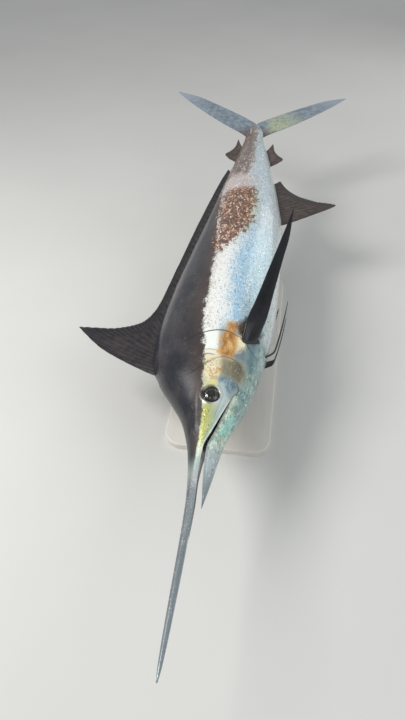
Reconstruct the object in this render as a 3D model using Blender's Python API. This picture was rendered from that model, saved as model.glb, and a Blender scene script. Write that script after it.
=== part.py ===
# A life-size blue marlin, rolled on its right side with its left flank up, on a low display stand.
#
# Row frame: +Y runs from the bill to the tail, +X towards the belly, +Z up, which is the fish's left.
# The origin is at the centre of the stand's underside. The body is described in the fish's own
# coordinates (s, h, w): s back from the tip of the lower jaw, h towards the back fin, w towards the
# fish's left. Lengths marked as shares are parts of the lower-jaw fork length.

import math

import bmesh
import bpy
import numpy as np
from mathutils import Vector

# Driving dimensions
fork_length = 2.60  # tip of the lower jaw to the fork of the tail
plane_height = 0.38  # height of the fish's own midplane over the floor, ahead of the bend
tail_lift = 0.15  # how far the fork of the tail is lifted by the body's bend
bend_start = 0.30  # share of the length where the bend begins
balance_share = 0.44  # share of the length that stands over the middle of the base
gap = 0.0003  # clearance between neighbouring pieces

# Body outline: share back from the jaw tip, top, bottom, half width
body_outline = (
    (-0.200, 0.0058, 0.0042, 0.0010),
    (-0.185, 0.0072, 0.0026, 0.0026),
    (-0.150, 0.0083, 0.0012, 0.0040),
    (-0.100, 0.0090, 0.0002, 0.0052),
    (-0.050, 0.0096, -0.0010, 0.0062),
    (0.000, 0.0108, -0.0120, 0.0076),
    (0.040, 0.0143, -0.0165, 0.0110),
    (0.080, 0.0205, -0.0218, 0.0172),
    (0.110, 0.0290, -0.0278, 0.0240),
    (0.135, 0.0390, -0.0365, 0.0305),
    (0.165, 0.0580, -0.0475, 0.0385),
    (0.200, 0.0820, -0.0555, 0.0465),
    (0.240, 0.0975, -0.0635, 0.0540),
    (0.300, 0.1035, -0.0725, 0.0605),
    (0.400, 0.0985, -0.0770, 0.0620),
    (0.500, 0.0880, -0.0770, 0.0580),
    (0.600, 0.0755, -0.0725, 0.0505),
    (0.700, 0.0620, -0.0590, 0.0405),
    (0.800, 0.0475, -0.0410, 0.0295),
    (0.880, 0.0355, -0.0240, 0.0210),
    (0.930, 0.0295, -0.0125, 0.0160),
    (0.960, 0.0270, -0.0095, 0.0120),
    (0.980, 0.0225, -0.0045, 0.0050),
)
# Stations of the loft, as (from, to, count), closest where the outline turns most
station_runs = (
    (-0.200, 0.000, 7),
    (0.000, 0.300, 23),
    (0.300, 0.860, 15),
    (0.860, 0.980, 8),
)
ring_points = 28
upper_fullness = 1.85  # superellipse exponents: the back is a little keeled, the belly rounder
lower_fullness = 2.05

# Cuts between the body's lengths, as shares
bill_cut = 0.015
gill_cut = 0.255
shoulder_cut = 0.440
waist_cut = 0.640
stock_cut = 0.860

# Mouth: share back, height of the upper jaw's edge
mouth_line = (
    (-0.060, -0.0020),
    (0.000, -0.0006),
    (0.050, 0.0012),
    (0.080, 0.0002),
    (0.105, -0.0080),
    (0.160, -0.0280),
    (0.195, -0.0410),
)
mouth_corner = 0.160
jaw_open = 0.0085  # share that the lower jaw's tip hangs below the upper jaw
jaw_end = 0.190  # share where the lower jaw meets the throat
jaw_rows = 12
jaw_tip_run = 0.050  # share over which the lower jaw tapers to its tip
jaw_narrow = 0.93  # width of the lower jaw's front as a part of the upper's
lip_start = 0.048
lip_rows = 8
lip_radius = 0.0036

# Eye
eye_place = (0.156, -0.0005)
eye_radius = 0.031
eye_half_depth = 0.018
eye_sink = 0.0105
rim_width = 0.0045
rim_height = 0.0032

# Nostrils: two small pits ahead of each eye
nostril_places = ((0.124, 0.0050), (0.131, 0.0070))
nostril_radius = 0.0035
nostril_depth = 0.006

# Gill cover outline, as shares: a plate that lifts towards its free rear edge
gill_outline = (
    (0.203, 0.050),
    (0.228, 0.054),
    (0.249, 0.044),
    (0.260, 0.025),
    (0.268, -0.006),
    (0.262, -0.024),
    (0.250, -0.038),
    (0.240, -0.053),
    (0.216, -0.055),
    (0.202, -0.045),
    (0.196, -0.025),
    (0.194, 0.000),
    (0.196, 0.028),
)
gill_front_rise = 0.0012
gill_rear_rise = 0.0060
prism_reach = (0.03, 0.30)  # from inside the body to well outside it
gill_front = 0.194
gill_rear = 0.268

# Keels on the tail stock: share back, distance from the midplane
keel_run = ((0.924, 0.0148), (0.945, 0.0138), (0.962, 0.0118), (0.976, 0.0084), (0.988, 0.0040))
keel_rows = 9
keel_offsets = (0.0100, -0.0075)  # above and below the stock's middle line, at the front
keel_closing = 0.4  # part of that offset that is gone at the rear
keel_rise = 0.0048
keel_half_thickness = 0.0026
stock_middle = 0.0087

# Fins
ray_relief = 0.55  # thickness between the rays, as a part of the thickness on them
ray_root = 0.3  # part of the fin over which the rays rise out of its fleshy root
ray_curve = 0.25  # how much the rays of the midline fins sweep back towards their tips
web_reach = 0.985  # length of the web between two rays, as a part of the rays' length
blade_web_reach = 0.995
edge_thinning = 0.68  # how much thinner the blades' edges are than their middles
# Thickness: fleshy root, how fast it fades, the blade's own root, the tip
tail_thickness = (0.015, 2.0, 0.0050, 0.0020)
pectoral_thickness = (0.018, 2.5, 0.0070, 0.0018)
pelvic_thickness = (0.0, 1.0, 0.0055, 0.0016)
median_thickness = (0.0105, 1.25, 0.0016)  # root, how fast it fades, tip
dorsal_thinning = 0.4

# Fins on the midline: u along the fin, root share, tip share, tip height
first_dorsal_rays = (
    (0.00, 0.214, 0.219, 0.1000),
    (0.03, 0.221, 0.238, 0.1400),
    (0.06, 0.229, 0.264, 0.1850),
    (0.10, 0.240, 0.311, 0.2360),
    (0.14, 0.252, 0.312, 0.1950),
    (0.18, 0.266, 0.319, 0.1620),
    (0.24, 0.290, 0.338, 0.1330),
    (0.33, 0.335, 0.374, 0.1190),
    (0.52, 0.450, 0.480, 0.1060),
    (0.74, 0.600, 0.626, 0.0880),
    (0.94, 0.755, 0.776, 0.0630),
    (1.00, 0.800, 0.818, 0.0530),
)
first_anal_rays = (
    (0.00, 0.634, 0.641, -0.0800),
    (0.12, 0.643, 0.674, -0.1250),
    (0.28, 0.657, 0.714, -0.1740),
    (0.42, 0.674, 0.722, -0.1350),
    (0.60, 0.700, 0.736, -0.1000),
    (0.80, 0.732, 0.758, -0.0750),
    (1.00, 0.765, 0.786, -0.0590),
)
second_dorsal_rays = (
    (0.00, 0.846, 0.858, 0.0560),
    (0.18, 0.853, 0.874, 0.0660),
    (0.45, 0.866, 0.888, 0.0560),
    (0.75, 0.881, 0.908, 0.0470),
    (1.00, 0.894, 0.936, 0.0440),
)
second_anal_rays = (
    (0.00, 0.834, 0.848, -0.0480),
    (0.18, 0.842, 0.865, -0.0600),
    (0.45, 0.855, 0.878, -0.0500),
    (0.75, 0.870, 0.896, -0.0400),
    (1.00, 0.883, 0.924, -0.0350),
)
lobe_end = 0.24  # where the tall lobe of the first dorsal gives way to its low rear part

# Tail fin lobe over the middle line: v out along it, leading edge, trailing edge
tail_lobe = (
    (0.00, 0.940, 0.0120, 0.952, 0.0003),
    (0.12, 0.961, 0.0330, 0.992, 0.0003),
    (0.24, 0.984, 0.0630, 1.012, 0.0170),
    (0.44, 1.018, 0.1030, 1.046, 0.0620),
    (0.64, 1.052, 0.1400, 1.076, 0.1070),
    (0.84, 1.088, 0.1760, 1.103, 0.1520),
    (1.00, 1.116, 0.2010, 1.119, 0.1990),
)

# Paired fins: v out along the fin, leading edge s h w, trailing edge s h w
pectoral_spread = (
    (0.00, 0.252, -0.0300, 0.0430, 0.277, -0.0580, 0.0330),
    (0.10, 0.277, -0.0345, 0.0640, 0.303, -0.0625, 0.0540),
    (0.25, 0.313, -0.0450, 0.0780, 0.337, -0.0690, 0.0720),
    (0.50, 0.374, -0.0600, 0.0960, 0.391, -0.0780, 0.0930),
    (0.75, 0.433, -0.0745, 0.1120, 0.443, -0.0865, 0.1110),
    (1.00, 0.490, -0.0880, 0.1260, 0.491, -0.0890, 0.1260),
)
pectoral_folded = (
    (0.00, 0.252, -0.0300, 0.0430, 0.277, -0.0580, 0.0330),
    (0.10, 0.277, -0.0330, 0.0620, 0.303, -0.0600, 0.0520),
    (0.25, 0.313, -0.0400, 0.0680, 0.337, -0.0630, 0.0620),
    (0.50, 0.374, -0.0530, 0.0730, 0.391, -0.0690, 0.0710),
    (0.75, 0.433, -0.0660, 0.0760, 0.443, -0.0750, 0.0750),
    (1.00, 0.491, -0.0790, 0.0780, 0.492, -0.0800, 0.0780),
)
pelvic_trail = (
    (0.00, 0.262, -0.0640, 0.0110, 0.270, -0.0650, 0.0040),
    (0.10, 0.276, -0.0780, 0.0135, 0.282, -0.0795, 0.0075),
    (0.30, 0.302, -0.0825, 0.0150, 0.306, -0.0840, 0.0100),
    (0.65, 0.348, -0.0880, 0.0165, 0.350, -0.0895, 0.0135),
    (1.00, 0.394, -0.0925, 0.0175, 0.3945, -0.0932, 0.0170),
)

# Stand
base_length = 1.24
base_width = 0.44
base_thickness = 0.030
base_corner = 0.075
base_edge = 0.006
rod_radius = 0.014
rod_shares = (0.335, 0.600)
rod_height = 0.012  # share of the rods' place above the fish's middle line
flange_radius = 0.042
flange_thickness = 0.012


def smooth(table, x):
    """The table's columns at x, on a curve through its points that doesn't overshoot."""
    rows = np.array(table, float)
    xs, ys = rows[:, 0], rows[:, 1:]
    slopes = np.diff(ys, axis=0) / np.diff(xs)[:, None]
    ends = (slopes[:1], slopes[-1:])
    both = slopes[:-1] * slopes[1:]
    inner = np.where(both > 0, 2 * both / np.where(both > 0, slopes[:-1] + slopes[1:], 1), 0)
    tangents = np.concatenate([ends[0], inner, ends[1]])
    i = int(np.clip(np.searchsorted(xs, x) - 1, 0, len(xs) - 2))
    span = xs[i + 1] - xs[i]
    t = (x - xs[i]) / span
    return (
        (2 * t**3 - 3 * t**2 + 1) * ys[i]
        + (t**3 - 2 * t**2 + t) * span * tangents[i]
        + (3 * t**2 - 2 * t**3) * ys[i + 1]
        + (t**3 - t**2) * span * tangents[i + 1]
    )


def ease(x, start, end):
    """0 before start, 1 after end, turning smoothly between."""
    t = min(max((x - start) / (end - start), 0.0), 1.0)
    return t * t * (3 - 2 * t)


def signed_power(value, power):
    return math.copysign(abs(value) ** power, value)


def lift(s):
    """How far the bend raises the body at s, in metres."""
    share = max(s / fork_length - bend_start, 0.0) / (1 - bend_start)
    return tail_lift * share**2


def place(s, h, w):
    """A point of the fish, in metres of its own coordinates, in the row frame."""
    return Vector((-h, s - balance_share * fork_length, plane_height + w + lift(s)))


def flank(share, height):
    """Half width of the body, as a share, at a height that is a share too."""
    top, bottom, half = smooth(body_outline, share)
    middle = (top + bottom) / 2
    reach = top - middle
    fullness = upper_fullness if height > middle else lower_fullness
    level = min(abs(height - middle) / reach, 1.0)
    return half * (1 - level**fullness) ** (1 / fullness)


def add_object(name, mesh, colour, roughness, metallic=0.0):
    obj = bpy.data.objects.new(name, mesh)
    bpy.context.scene.collection.objects.link(obj)
    if colour is None:
        obj.hide_render = True
        obj.display_type = "WIRE"
        return obj
    material = bpy.data.materials.new(name)
    material.use_nodes = True
    shader = material.node_tree.nodes["Principled BSDF"]
    shader.inputs["Base Color"].default_value = (*colour, 1)
    shader.inputs["Roughness"].default_value = roughness
    shader.inputs["Metallic"].default_value = metallic
    mesh.materials.append(material)
    return obj


def add_mesh(name, points, faces, colour=None, roughness=0.5, metallic=0.0):
    """An object from points in the row frame. Without a colour it is a cutter."""
    mesh = bpy.data.meshes.new(name)
    mesh.from_pydata([tuple(p) for p in points], [], faces)
    tidy = bmesh.new()
    tidy.from_mesh(mesh)
    bmesh.ops.recalc_face_normals(tidy, faces=tidy.faces)
    tidy.to_mesh(mesh)
    tidy.free()
    return add_object(name, mesh, colour, roughness, metallic)


def apply_modifier(obj, modifier):
    with bpy.context.temp_override(object=obj, active_object=obj, selected_objects=[obj]):
        bpy.ops.object.modifier_apply(modifier=modifier.name)


def boolean(obj, operation, others, solver="EXACT"):
    """Joins or cuts obj with each of the others, which are then removed."""
    tools = bpy.data.collections.new("tools of " + obj.name)
    bpy.context.scene.collection.children.link(tools)
    for other in others:
        tools.objects.link(other)
    modifier = obj.modifiers.new("boolean", "BOOLEAN")
    modifier.operation = operation
    modifier.solver = solver
    modifier.operand_type = "COLLECTION"
    modifier.collection = tools
    apply_modifier(obj, modifier)
    for other in others:
        bpy.data.objects.remove(other)
    bpy.data.collections.remove(tools)


def cut_with(obj, cutter):
    """Cuts obj with a cutter that is kept for the next piece."""
    modifier = obj.modifiers.new("cut", "BOOLEAN")
    modifier.operation = "DIFFERENCE"
    modifier.solver = "EXACT"
    modifier.object = cutter
    apply_modifier(obj, modifier)


def keep_largest(obj):
    """Leaves only the closed surface of largest volume."""
    shape = bmesh.new()
    shape.from_mesh(obj.data)
    left = set(shape.faces)
    islands = []
    while left:
        found = {left.pop()}
        edge_faces = list(found)
        while edge_faces:
            face = edge_faces.pop()
            for edge in face.edges:
                for other in edge.link_faces:
                    if other in left:
                        left.remove(other)
                        found.add(other)
                        edge_faces.append(other)
        islands.append(found)

    def volume(faces):
        total = 0.0
        for face in faces:
            corners = [v.co for v in face.verts]
            for a, b in zip(corners[1:-1], corners[2:]):
                total += corners[0].dot(a.cross(b))
        return abs(total)

    islands.sort(key=volume, reverse=True)
    for island in islands[1:]:
        bmesh.ops.delete(shape, geom=list(island), context="FACES")
    shape.to_mesh(obj.data)
    shape.free()


def ring(share, grow=0.0):
    """One section of the body as points in the row frame, widened by grow metres."""
    top, bottom, half = smooth(body_outline, share) * fork_length
    middle = (top + bottom) / 2
    points = []
    for k in range(ring_points):
        angle = 2 * math.pi * k / ring_points
        across, along = math.cos(angle), math.sin(angle)
        fullness = upper_fullness if along > 0 else lower_fullness
        w = (half + grow) * signed_power(across, 2 / fullness)
        h = middle + (top - middle + grow) * signed_power(along, 2 / fullness)
        points.append(place(share * fork_length, h, w))
    return points


def jaw_top(share):
    """Height of the lower jaw's edge."""
    opening = jaw_open * max(1 - share / mouth_corner, 0.0) + gap / fork_length
    return smooth(mouth_line, share)[0] - opening


def jaw_narrowing(share):
    return jaw_narrow + (1 - jaw_narrow) * ease(share, mouth_corner / 2, mouth_corner)


def jaw_ring(share):
    """A section of the lower jaw: the body's own section below the mouth, drawn in near the tip."""
    top, bottom, half = smooth(body_outline, share)
    middle = (top + bottom) / 2
    line = jaw_top(share)
    corner = math.asin(((middle - line) / (top - middle)) ** (lower_fullness / 2))
    run = min(share / jaw_tip_run, 1.0)
    round_off = math.sqrt(1 - (1 - run) ** 2)
    narrow = jaw_narrowing(share) * round_off
    arc = ring_points // 2
    section = []
    for k in range(arc + 1):
        angle = corner + (math.pi - 2 * corner) * k / arc
        w = half * signed_power(math.cos(angle), 2 / lower_fullness)
        h = middle - (top - middle) * math.sin(angle) ** (2 / lower_fullness)
        section.append((line - (line - h) * round_off, w * narrow))
    flat = ring_points - arc - 1
    edge = section[0][1]
    section += [(line, edge * (2 * k / (flat + 1) - 1)) for k in range(1, flat + 1)]
    return [place(share * fork_length, h * fork_length, w * fork_length) for h, w in section]


def jaw_shares():
    """The lower jaw's stations, closer together at its tip."""
    start = 0.03  # the first station stands this part of a step behind the very tip
    steps = jaw_rows + start
    return [jaw_end * ((k + start) / steps) ** 1.15 for k in range(jaw_rows + 1)]


def mouth_room():
    """The space below the mouth's line that the upper jaw leaves to the lower one."""
    shares = [mouth_line[0][0], mouth_line[0][0] / 2, *jaw_shares()]
    low, wide = -0.3, 0.3  # metres, well past the body
    rings = []
    for share in shares:
        top = smooth(mouth_line, share)[0] * fork_length
        corners = ((top, wide), (top, -wide), (low, -wide), (low, wide))
        rings.append([place(share * fork_length, h, w) for h, w in corners])
    return add_mesh("mouth room", *loft(rings))


def loft(rings, tip_start=None, tip_end=None):
    """Points and triangles of a closed loft through rings of the same count."""
    count = len(rings[0])
    points = [p for r in rings for p in r]
    faces = []
    for i in range(len(rings) - 1):
        for k in range(count):
            a, b = i * count + k, i * count + (k + 1) % count
            faces += [(a, b, b + count), (a, b + count, a + count)]
    for row, tip in ((0, tip_start), (len(rings) - 1, tip_end)):
        centre = tip or sum(rings[row], Vector()) / count
        points.append(centre)
        last = len(points) - 1
        faces += [(last, row * count + k, row * count + (k + 1) % count) for k in range(count)]
    return points, faces


def stations(start, end):
    """Shares of the loft's sections from start to end."""
    inner = {c for c in (bill_cut, gill_cut, shoulder_cut, waist_cut, stock_cut)}
    for first, last, count in station_runs:
        inner |= {first + (last - first) * k / (count - 1) for k in range(count)}
    inside = sorted(x for x in inner if start + 1e-3 < x < end - 1e-3)
    return [start, *inside, end]


def body_length(start, end, grow=0.0):
    """Loft of the body between two shares, with half a gap left at each cut."""
    half_gap = gap / 2 / fork_length
    first = body_outline[0][0]
    last = body_outline[-1][0]
    low = start if start == first else start + half_gap
    high = end if end == last else end - half_gap
    rings = [ring(x, grow) for x in stations(low, high)]
    if grow:
        rings.append([p + Vector((0, grow, 0)) for p in rings[-1]])
    tip = None
    if start == first:
        tip = place((first - 0.0006) * fork_length - grow, 0.005 * fork_length, 0)
    return loft(rings, tip_start=tip)


def make_body_cutter(grow=gap):
    points, faces = body_length(body_outline[0][0], body_outline[-1][0], grow)
    return add_mesh("body_cutter", points, faces)


def make_bill(colour, roughness):
    bill = add_mesh("bill", *body_length(body_outline[0][0], bill_cut), colour, roughness)
    boolean(bill, "DIFFERENCE", [mouth_room()])
    keep_largest(bill)


def make_lower_jaw(colour, roughness):
    shares = jaw_shares()
    shares[-1] -= gap / fork_length
    jaw = add_mesh("lower_jaw", *loft([jaw_ring(x) for x in shares]), colour, roughness)
    boolean(jaw, "UNION", [lip("lower lip", side, -1) for side in (1, -1)])
    boolean(jaw, "DIFFERENCE", [lip("lip room", side, 1, gap) for side in (1, -1)])
    keep_largest(jaw)


def tube(points, radii, sides=6):
    """A closed tube along points with a radius at each."""
    rings = []
    for i, (centre, radius) in enumerate(zip(points, radii)):
        ahead = points[min(i + 1, len(points) - 1)] - points[max(i - 1, 0)]
        out = ahead.cross(Vector((0, 0, 1))).normalized()
        up = out.cross(ahead).normalized()
        rings.append(
            [
                centre
                + out * radius * math.cos(2 * math.pi * k / sides)
                + up * radius * math.sin(2 * math.pi * k / sides)
                for k in range(sides)
            ]
        )
    return loft(rings)


def lip(name, side, jaw, grow=0.0):
    """The rounded edge of the mouth on one side: jaw is 1 for the upper and -1 for the lower."""
    centres, radii = [], []
    for k in range(lip_rows):
        t = k / (lip_rows - 1)
        share = lip_start + (mouth_corner - 0.004 - lip_start) * t
        if jaw > 0:
            line, narrow = smooth(mouth_line, share)[0], 1.0
            radius = lip_radius * (0.7 + 0.6 * t)
        else:
            line, narrow = jaw_top(share), jaw_narrowing(share)
            radius = lip_radius * 0.7
        w = flank(share, line) * narrow * fork_length - 0.4 * radius
        h = line * fork_length + jaw * 0.9 * radius
        centres.append(place(share * fork_length, h, side * w))
        radii.append(radius + grow)
    return add_mesh(name, *tube(centres, radii))


def on_flank(share, height, side):
    """The point of the flank at a share and a height, and the way out of it."""
    step = 0.002

    def point(ds, dh):
        w = flank(share + ds, height + dh) * fork_length
        return place((share + ds) * fork_length, (height + dh) * fork_length, side * w)

    along = point(step, 0) - point(-step, 0)
    across = point(0, step) - point(0, -step)
    out = along.cross(across).normalized()
    if out.z * side < 0:
        out = -out
    return point(0, 0), out


def ellipsoid(name, share, height, side, sink, radius, half_depth, colour=None, roughness=0.5):
    """A flattened ball set into the flank, its short axis square to the surface there."""
    surface, out = on_flank(share, height, side)
    centre = surface - out * sink
    turn = out.to_track_quat("Z", "Y")
    mesh = bpy.data.meshes.new(name)
    shape = bmesh.new()
    bmesh.ops.create_uvsphere(shape, u_segments=20, v_segments=10, radius=1.0)
    for vertex in shape.verts:
        local = Vector((vertex.co.x * radius, vertex.co.y * radius, vertex.co.z * half_depth))
        vertex.co = turn @ local + centre
    shape.to_mesh(mesh)
    shape.free()
    return add_object(name, mesh, colour, roughness)


def eye_rim(side):
    """A low raised ring of skin round the eye."""
    share, height = eye_place
    turns, sides = 18, 6
    reach = (eye_radius + rim_width * 0.5) / fork_length
    points = []
    for k in range(turns):
        angle = 2 * math.pi * k / turns
        ds, dh = reach * math.cos(angle), reach * math.sin(angle)
        middle, up = on_flank(share + ds, height + dh, side)
        outward = Vector((-math.sin(angle), math.cos(angle), 0))
        outward = (outward - up * outward.dot(up)).normalized()
        for j in range(sides):
            turn = 2 * math.pi * j / sides
            reach_out = outward * rim_width * math.cos(turn)
            points.append(middle + reach_out + up * rim_height * math.sin(turn))
    faces = []
    for i in range(turns):
        for j in range(sides):
            a, b = i * sides + j, i * sides + (j + 1) % sides
            c, d = (i + 1) % turns * sides + (j + 1) % sides, (i + 1) % turns * sides + j
            faces += [(a, b, c), (a, c, d)]
    return add_mesh("eye rim", points, faces)


def make_head(colour, roughness):
    head = add_mesh("head", *body_length(bill_cut, gill_cut), colour, roughness)
    boolean(head, "DIFFERENCE", [mouth_room()])
    pieces = [lip("upper lip", side, 1) for side in (1, -1)]
    pieces += [eye_rim(side) for side in (1, -1)]
    boolean(head, "UNION", pieces)
    for side in (1, -1):
        room = (eye_radius + gap, eye_half_depth + gap)
        hollows = [ellipsoid("socket", *eye_place, side, eye_sink, *room)]
        for spot in nostril_places:
            hollows.append(ellipsoid("nostril", *spot, side, 0, nostril_radius, nostril_depth))
        boolean(head, "DIFFERENCE", hollows)
    keep_largest(head)


def make_eyes(colour, roughness):
    for name, side in (("eye_left", 1), ("eye_right", -1)):
        ellipsoid(name, *eye_place, side, eye_sink, eye_radius, eye_half_depth, colour, roughness)


def make_trunk(colour, roughness):
    for name, start, end in (
        ("shoulder", gill_cut, shoulder_cut),
        ("trunk_middle", shoulder_cut, waist_cut),
        ("trunk_rear", waist_cut, stock_cut),
    ):
        add_mesh(name, *body_length(start, end), colour, roughness)


def keel(name, side, offset, grow=0.0):
    """One of the two short keels on a side of the tail stock: a half-sunk spindle."""
    start, end = keel_run[0][0], keel_run[-1][0]
    rings = []
    for k in range(keel_rows):
        t = k / (keel_rows - 1)
        share = start + (end - start) * t
        swell = math.sin(math.pi * (0.04 + 0.92 * t)) ** 0.75
        middle = smooth(keel_run, share)[0] * fork_length
        height = (stock_middle + offset * (1 - keel_closing * t)) * fork_length
        out = keel_rise * swell * fork_length + grow
        half = keel_half_thickness * swell * fork_length + grow
        rings.append(
            [
                place(
                    share * fork_length,
                    height + half * math.sin(a),
                    side * (middle + out * math.cos(a)),
                )
                for a in [2 * math.pi * j / 8 for j in range(8)]
            ]
        )
    tips = []
    for row, shift in ((rings[0], -grow), (rings[-1], grow)):
        tips.append(sum(row, Vector()) / len(row) + Vector((0, shift, 0)))
    return add_mesh(name, *loft(rings, *tips))


def keels(grow=0.0):
    return [keel("keel", side, offset, grow) for side in (1, -1) for offset in keel_offsets]


def make_tail_stock(colour, roughness):
    stock = add_mesh("tail_stock", *body_length(stock_cut, body_outline[-1][0]), colour, roughness)
    boolean(stock, "UNION", keels())
    keep_largest(stock)


def gill_layer(name, side, grow=0.0, colour=None, roughness=0.5):
    """The part of a swollen body inside the gill cover's outline, widened by grow metres."""
    rings = []
    for share in stations(gill_front - 0.02, gill_rear + 0.02):
        rearwards = ease(share, gill_front, gill_rear)
        rise = gill_front_rise + (gill_rear_rise - gill_front_rise) * rearwards
        rings.append(ring(share, rise + grow))
    layer = add_mesh(name, *loft(rings), colour, roughness)
    centre = np.mean(gill_outline, axis=0)
    near, far = [], []
    for t in np.linspace(0, 1, 32, endpoint=False):
        edge = closed_curve(gill_outline, t)
        away = edge - centre
        edge = edge + away / np.linalg.norm(away) * grow * 1.5 / fork_length
        near.append(place(*(edge * fork_length), side * prism_reach[0]))
        far.append(place(*(edge * fork_length), side * prism_reach[1]))
    prism = add_mesh("gill prism", *loft([near, far]))
    boolean(layer, "INTERSECT", [prism])
    return layer


def make_gill_covers(cutter, colour, roughness):
    """Each cover is the layer between the body and a swollen body, inside the cover's outline."""
    for name, side in (("gill_cover_left", 1), ("gill_cover_right", -1)):
        cover = gill_layer(name, side, 0.0, colour, roughness)
        cut_with(cover, cutter)
        keep_largest(cover)


def closed_curve(points, t):
    """A point on the smooth closed curve through points."""
    count = len(points)
    x = t * count
    i = int(x) % count
    f = x - int(x)
    p = [np.array(points[(i + k) % count]) for k in (-1, 0, 1, 2)]
    return 0.5 * (
        2 * p[1]
        + (p[2] - p[0]) * f
        + (2 * p[0] - 5 * p[1] + 4 * p[2] - p[3]) * f**2
        + (3 * p[1] - p[0] - 3 * p[2] + p[3]) * f**3
    )


def fin(
    name, point, thickness, rays, rows, cutters, colour, roughness, ends=(0.0, 1.0), side=None
):
    """A fin as one thin closed plate. point(u, v) gives its middle surface in fish coordinates, u
    across the rays and v out along them. The plate is thick on each ray and thin between rays."""
    columns = 2 * rays - 1
    low, high = ends
    middle, half = [], []
    for j in range(columns):
        u = low + (high - low) * j / (columns - 1)
        on_ray = j % 2 == 0
        for k in range(rows):
            v = k / (rows - 1)
            middle.append(place(*[x * fork_length for x in point(u, v, on_ray)]))
            valley = 1 - (1 - ray_relief) * ease(v, 0, ray_root)
            half.append(thickness(u, v) * (1.0 if on_ray else valley) / 2)
    outward = []
    for j in range(columns):
        for k in range(rows):
            if side is None:
                outward.append(Vector((0, 0, 1)))
                continue
            a = middle[min(j + 1, columns - 1) * rows + k] - middle[max(j - 1, 0) * rows + k]
            b = middle[j * rows + min(k + 1, rows - 1)] - middle[j * rows + max(k - 1, 0)]
            outward.append(a.cross(b).normalized() * side)
    points = [m + n * t for m, n, t in zip(middle, outward, half)]
    points += [m - n * t for m, n, t in zip(middle, outward, half)]
    back = len(middle)
    faces = []
    for j in range(columns - 1):
        for k in range(rows - 1):
            a, b = j * rows + k, (j + 1) * rows + k
            faces += [(a, b, b + 1), (a, b + 1, a + 1)]
            faces += [(back + a, back + b + 1, back + b), (back + a, back + a + 1, back + b + 1)]
    rim = [j * rows for j in range(columns)]
    rim += [(columns - 1) * rows + k for k in range(1, rows)]
    rim += [j * rows + rows - 1 for j in range(columns - 2, -1, -1)]
    rim += [k for k in range(rows - 2, 0, -1)]
    for a, b in zip(rim, rim[1:] + rim[:1]):
        faces += [(a, back + a, back + b), (a, back + b, b)]
    plate = add_mesh(name, points, faces, colour, roughness)
    for cutter in cutters:
        cut_with(plate, cutter)
    keep_largest(plate)
    return plate


def median_point(rays, root_sink):
    """The middle surface of a fin on the midline, from its table of rays."""

    def point(u, v, on_ray):
        root, tip, height = smooth(rays, u)
        top, bottom, _ = smooth(body_outline, root)
        edge = top - root_sink if height > 0 else bottom + root_sink
        reach = v if on_ray else v * web_reach
        sweep = (tip - root) * ((1 - ray_curve) * reach + ray_curve * reach**2)
        return root + sweep, edge + (height - edge) * reach, 0.0

    return point


def fading(v, root, power, web, tip):
    """Thickness of a paired or tail fin out along it."""
    return root * (1 - v) ** power + web * (1 - v) + tip


def streamline(u, thickest):
    """Thickness of a fin's section at u across it, as a part of the thickness where it is thickest."""
    run = thickest if u < thickest else 1 - thickest
    return 1 - edge_thinning * ((u - thickest) / run) ** 2


def blade_point(table, side):
    """The middle surface of a paired fin between its leading and trailing edges."""

    def point(u, v, on_ray):
        edges = smooth(table, v if on_ray else v * blade_web_reach)
        s, h, w = edges[:3] * (1 - u) + edges[3:] * u
        return s, h, side * w

    return point


def make_median_fins(cutter, dark, dark_brown, roughness):
    dorsal = median_point(first_dorsal_rays, 0.010)

    def split_dorsal(shift):
        def point(u, v, on_ray):
            s, h, w = dorsal(u, v, on_ray)
            return s + (shift / fork_length if abs(u - lobe_end) < 1e-9 else 0), h, w

        return point

    def dorsal_thickness(u, v):
        root, power, tip = median_thickness
        return root * (1 - dorsal_thinning * u) * (1 - v) ** power + tip

    fin(
        "first_dorsal_lobe", split_dorsal(-gap / 2), dorsal_thickness, 10, 6, [cutter], dark_brown,
        roughness, ends=(0.0, lobe_end),
    )
    fin(
        "first_dorsal_rear", split_dorsal(gap / 2), dorsal_thickness, 22, 3, [cutter], dark_brown,
        roughness, ends=(lobe_end, 1.0),
    )
    for name, rays, count, sink in (
        ("first_anal_fin", first_anal_rays, 10, 0.009),
        ("second_dorsal_fin", second_dorsal_rays, 6, 0.006),
        ("second_anal_fin", second_anal_rays, 6, 0.006),
    ):
        fin(
            name, median_point(rays, sink), dorsal_thickness, count, 5, [cutter], dark, roughness,
        )


def make_tail_fin(cutter, colour, roughness):
    cutters = [cutter, *keels(gap)]
    for name, side in (("tail_fin_upper_lobe", 1), ("tail_fin_lower_lobe", -1)):

        def point(u, v, on_ray, side=side):
            lead_s, lead_h, trail_s, trail_h = smooth(tail_lobe, v)
            s = lead_s * (1 - u) + trail_s * u
            h = lead_h * (1 - u) + trail_h * u
            return s, stock_middle + side * max(h, gap / 2 / fork_length), 0.0

        def thickness(u, v):
            return fading(v, *tail_thickness) * streamline(u, 0.35)

        fin(name, point, thickness, 8, 10, cutters, colour, roughness)
    for tool in cutters[1:]:
        bpy.data.objects.remove(tool)


def make_paired_fins(cutter, colour, roughness):
    def thickness(u, v):
        return fading(v, *pectoral_thickness) * streamline(u, 0.32)

    for name, table, side in (
        ("pectoral_fin_left", pectoral_spread, 1),
        ("pectoral_fin_right", pectoral_folded, -1),
    ):
        room = gill_layer("gill room", side, gap)
        cutters = [cutter, room]
        fin(name, blade_point(table, side), thickness, 7, 9, cutters, colour, roughness, side=side)
        bpy.data.objects.remove(room)
    for name, side in (("pelvic_fin_left", 1), ("pelvic_fin_right", -1)):
        fin(
            name, blade_point(pelvic_trail, side), lambda u, v: fading(v, *pelvic_thickness), 2, 7,
            [cutter], colour, roughness, side=side,
        )


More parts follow.
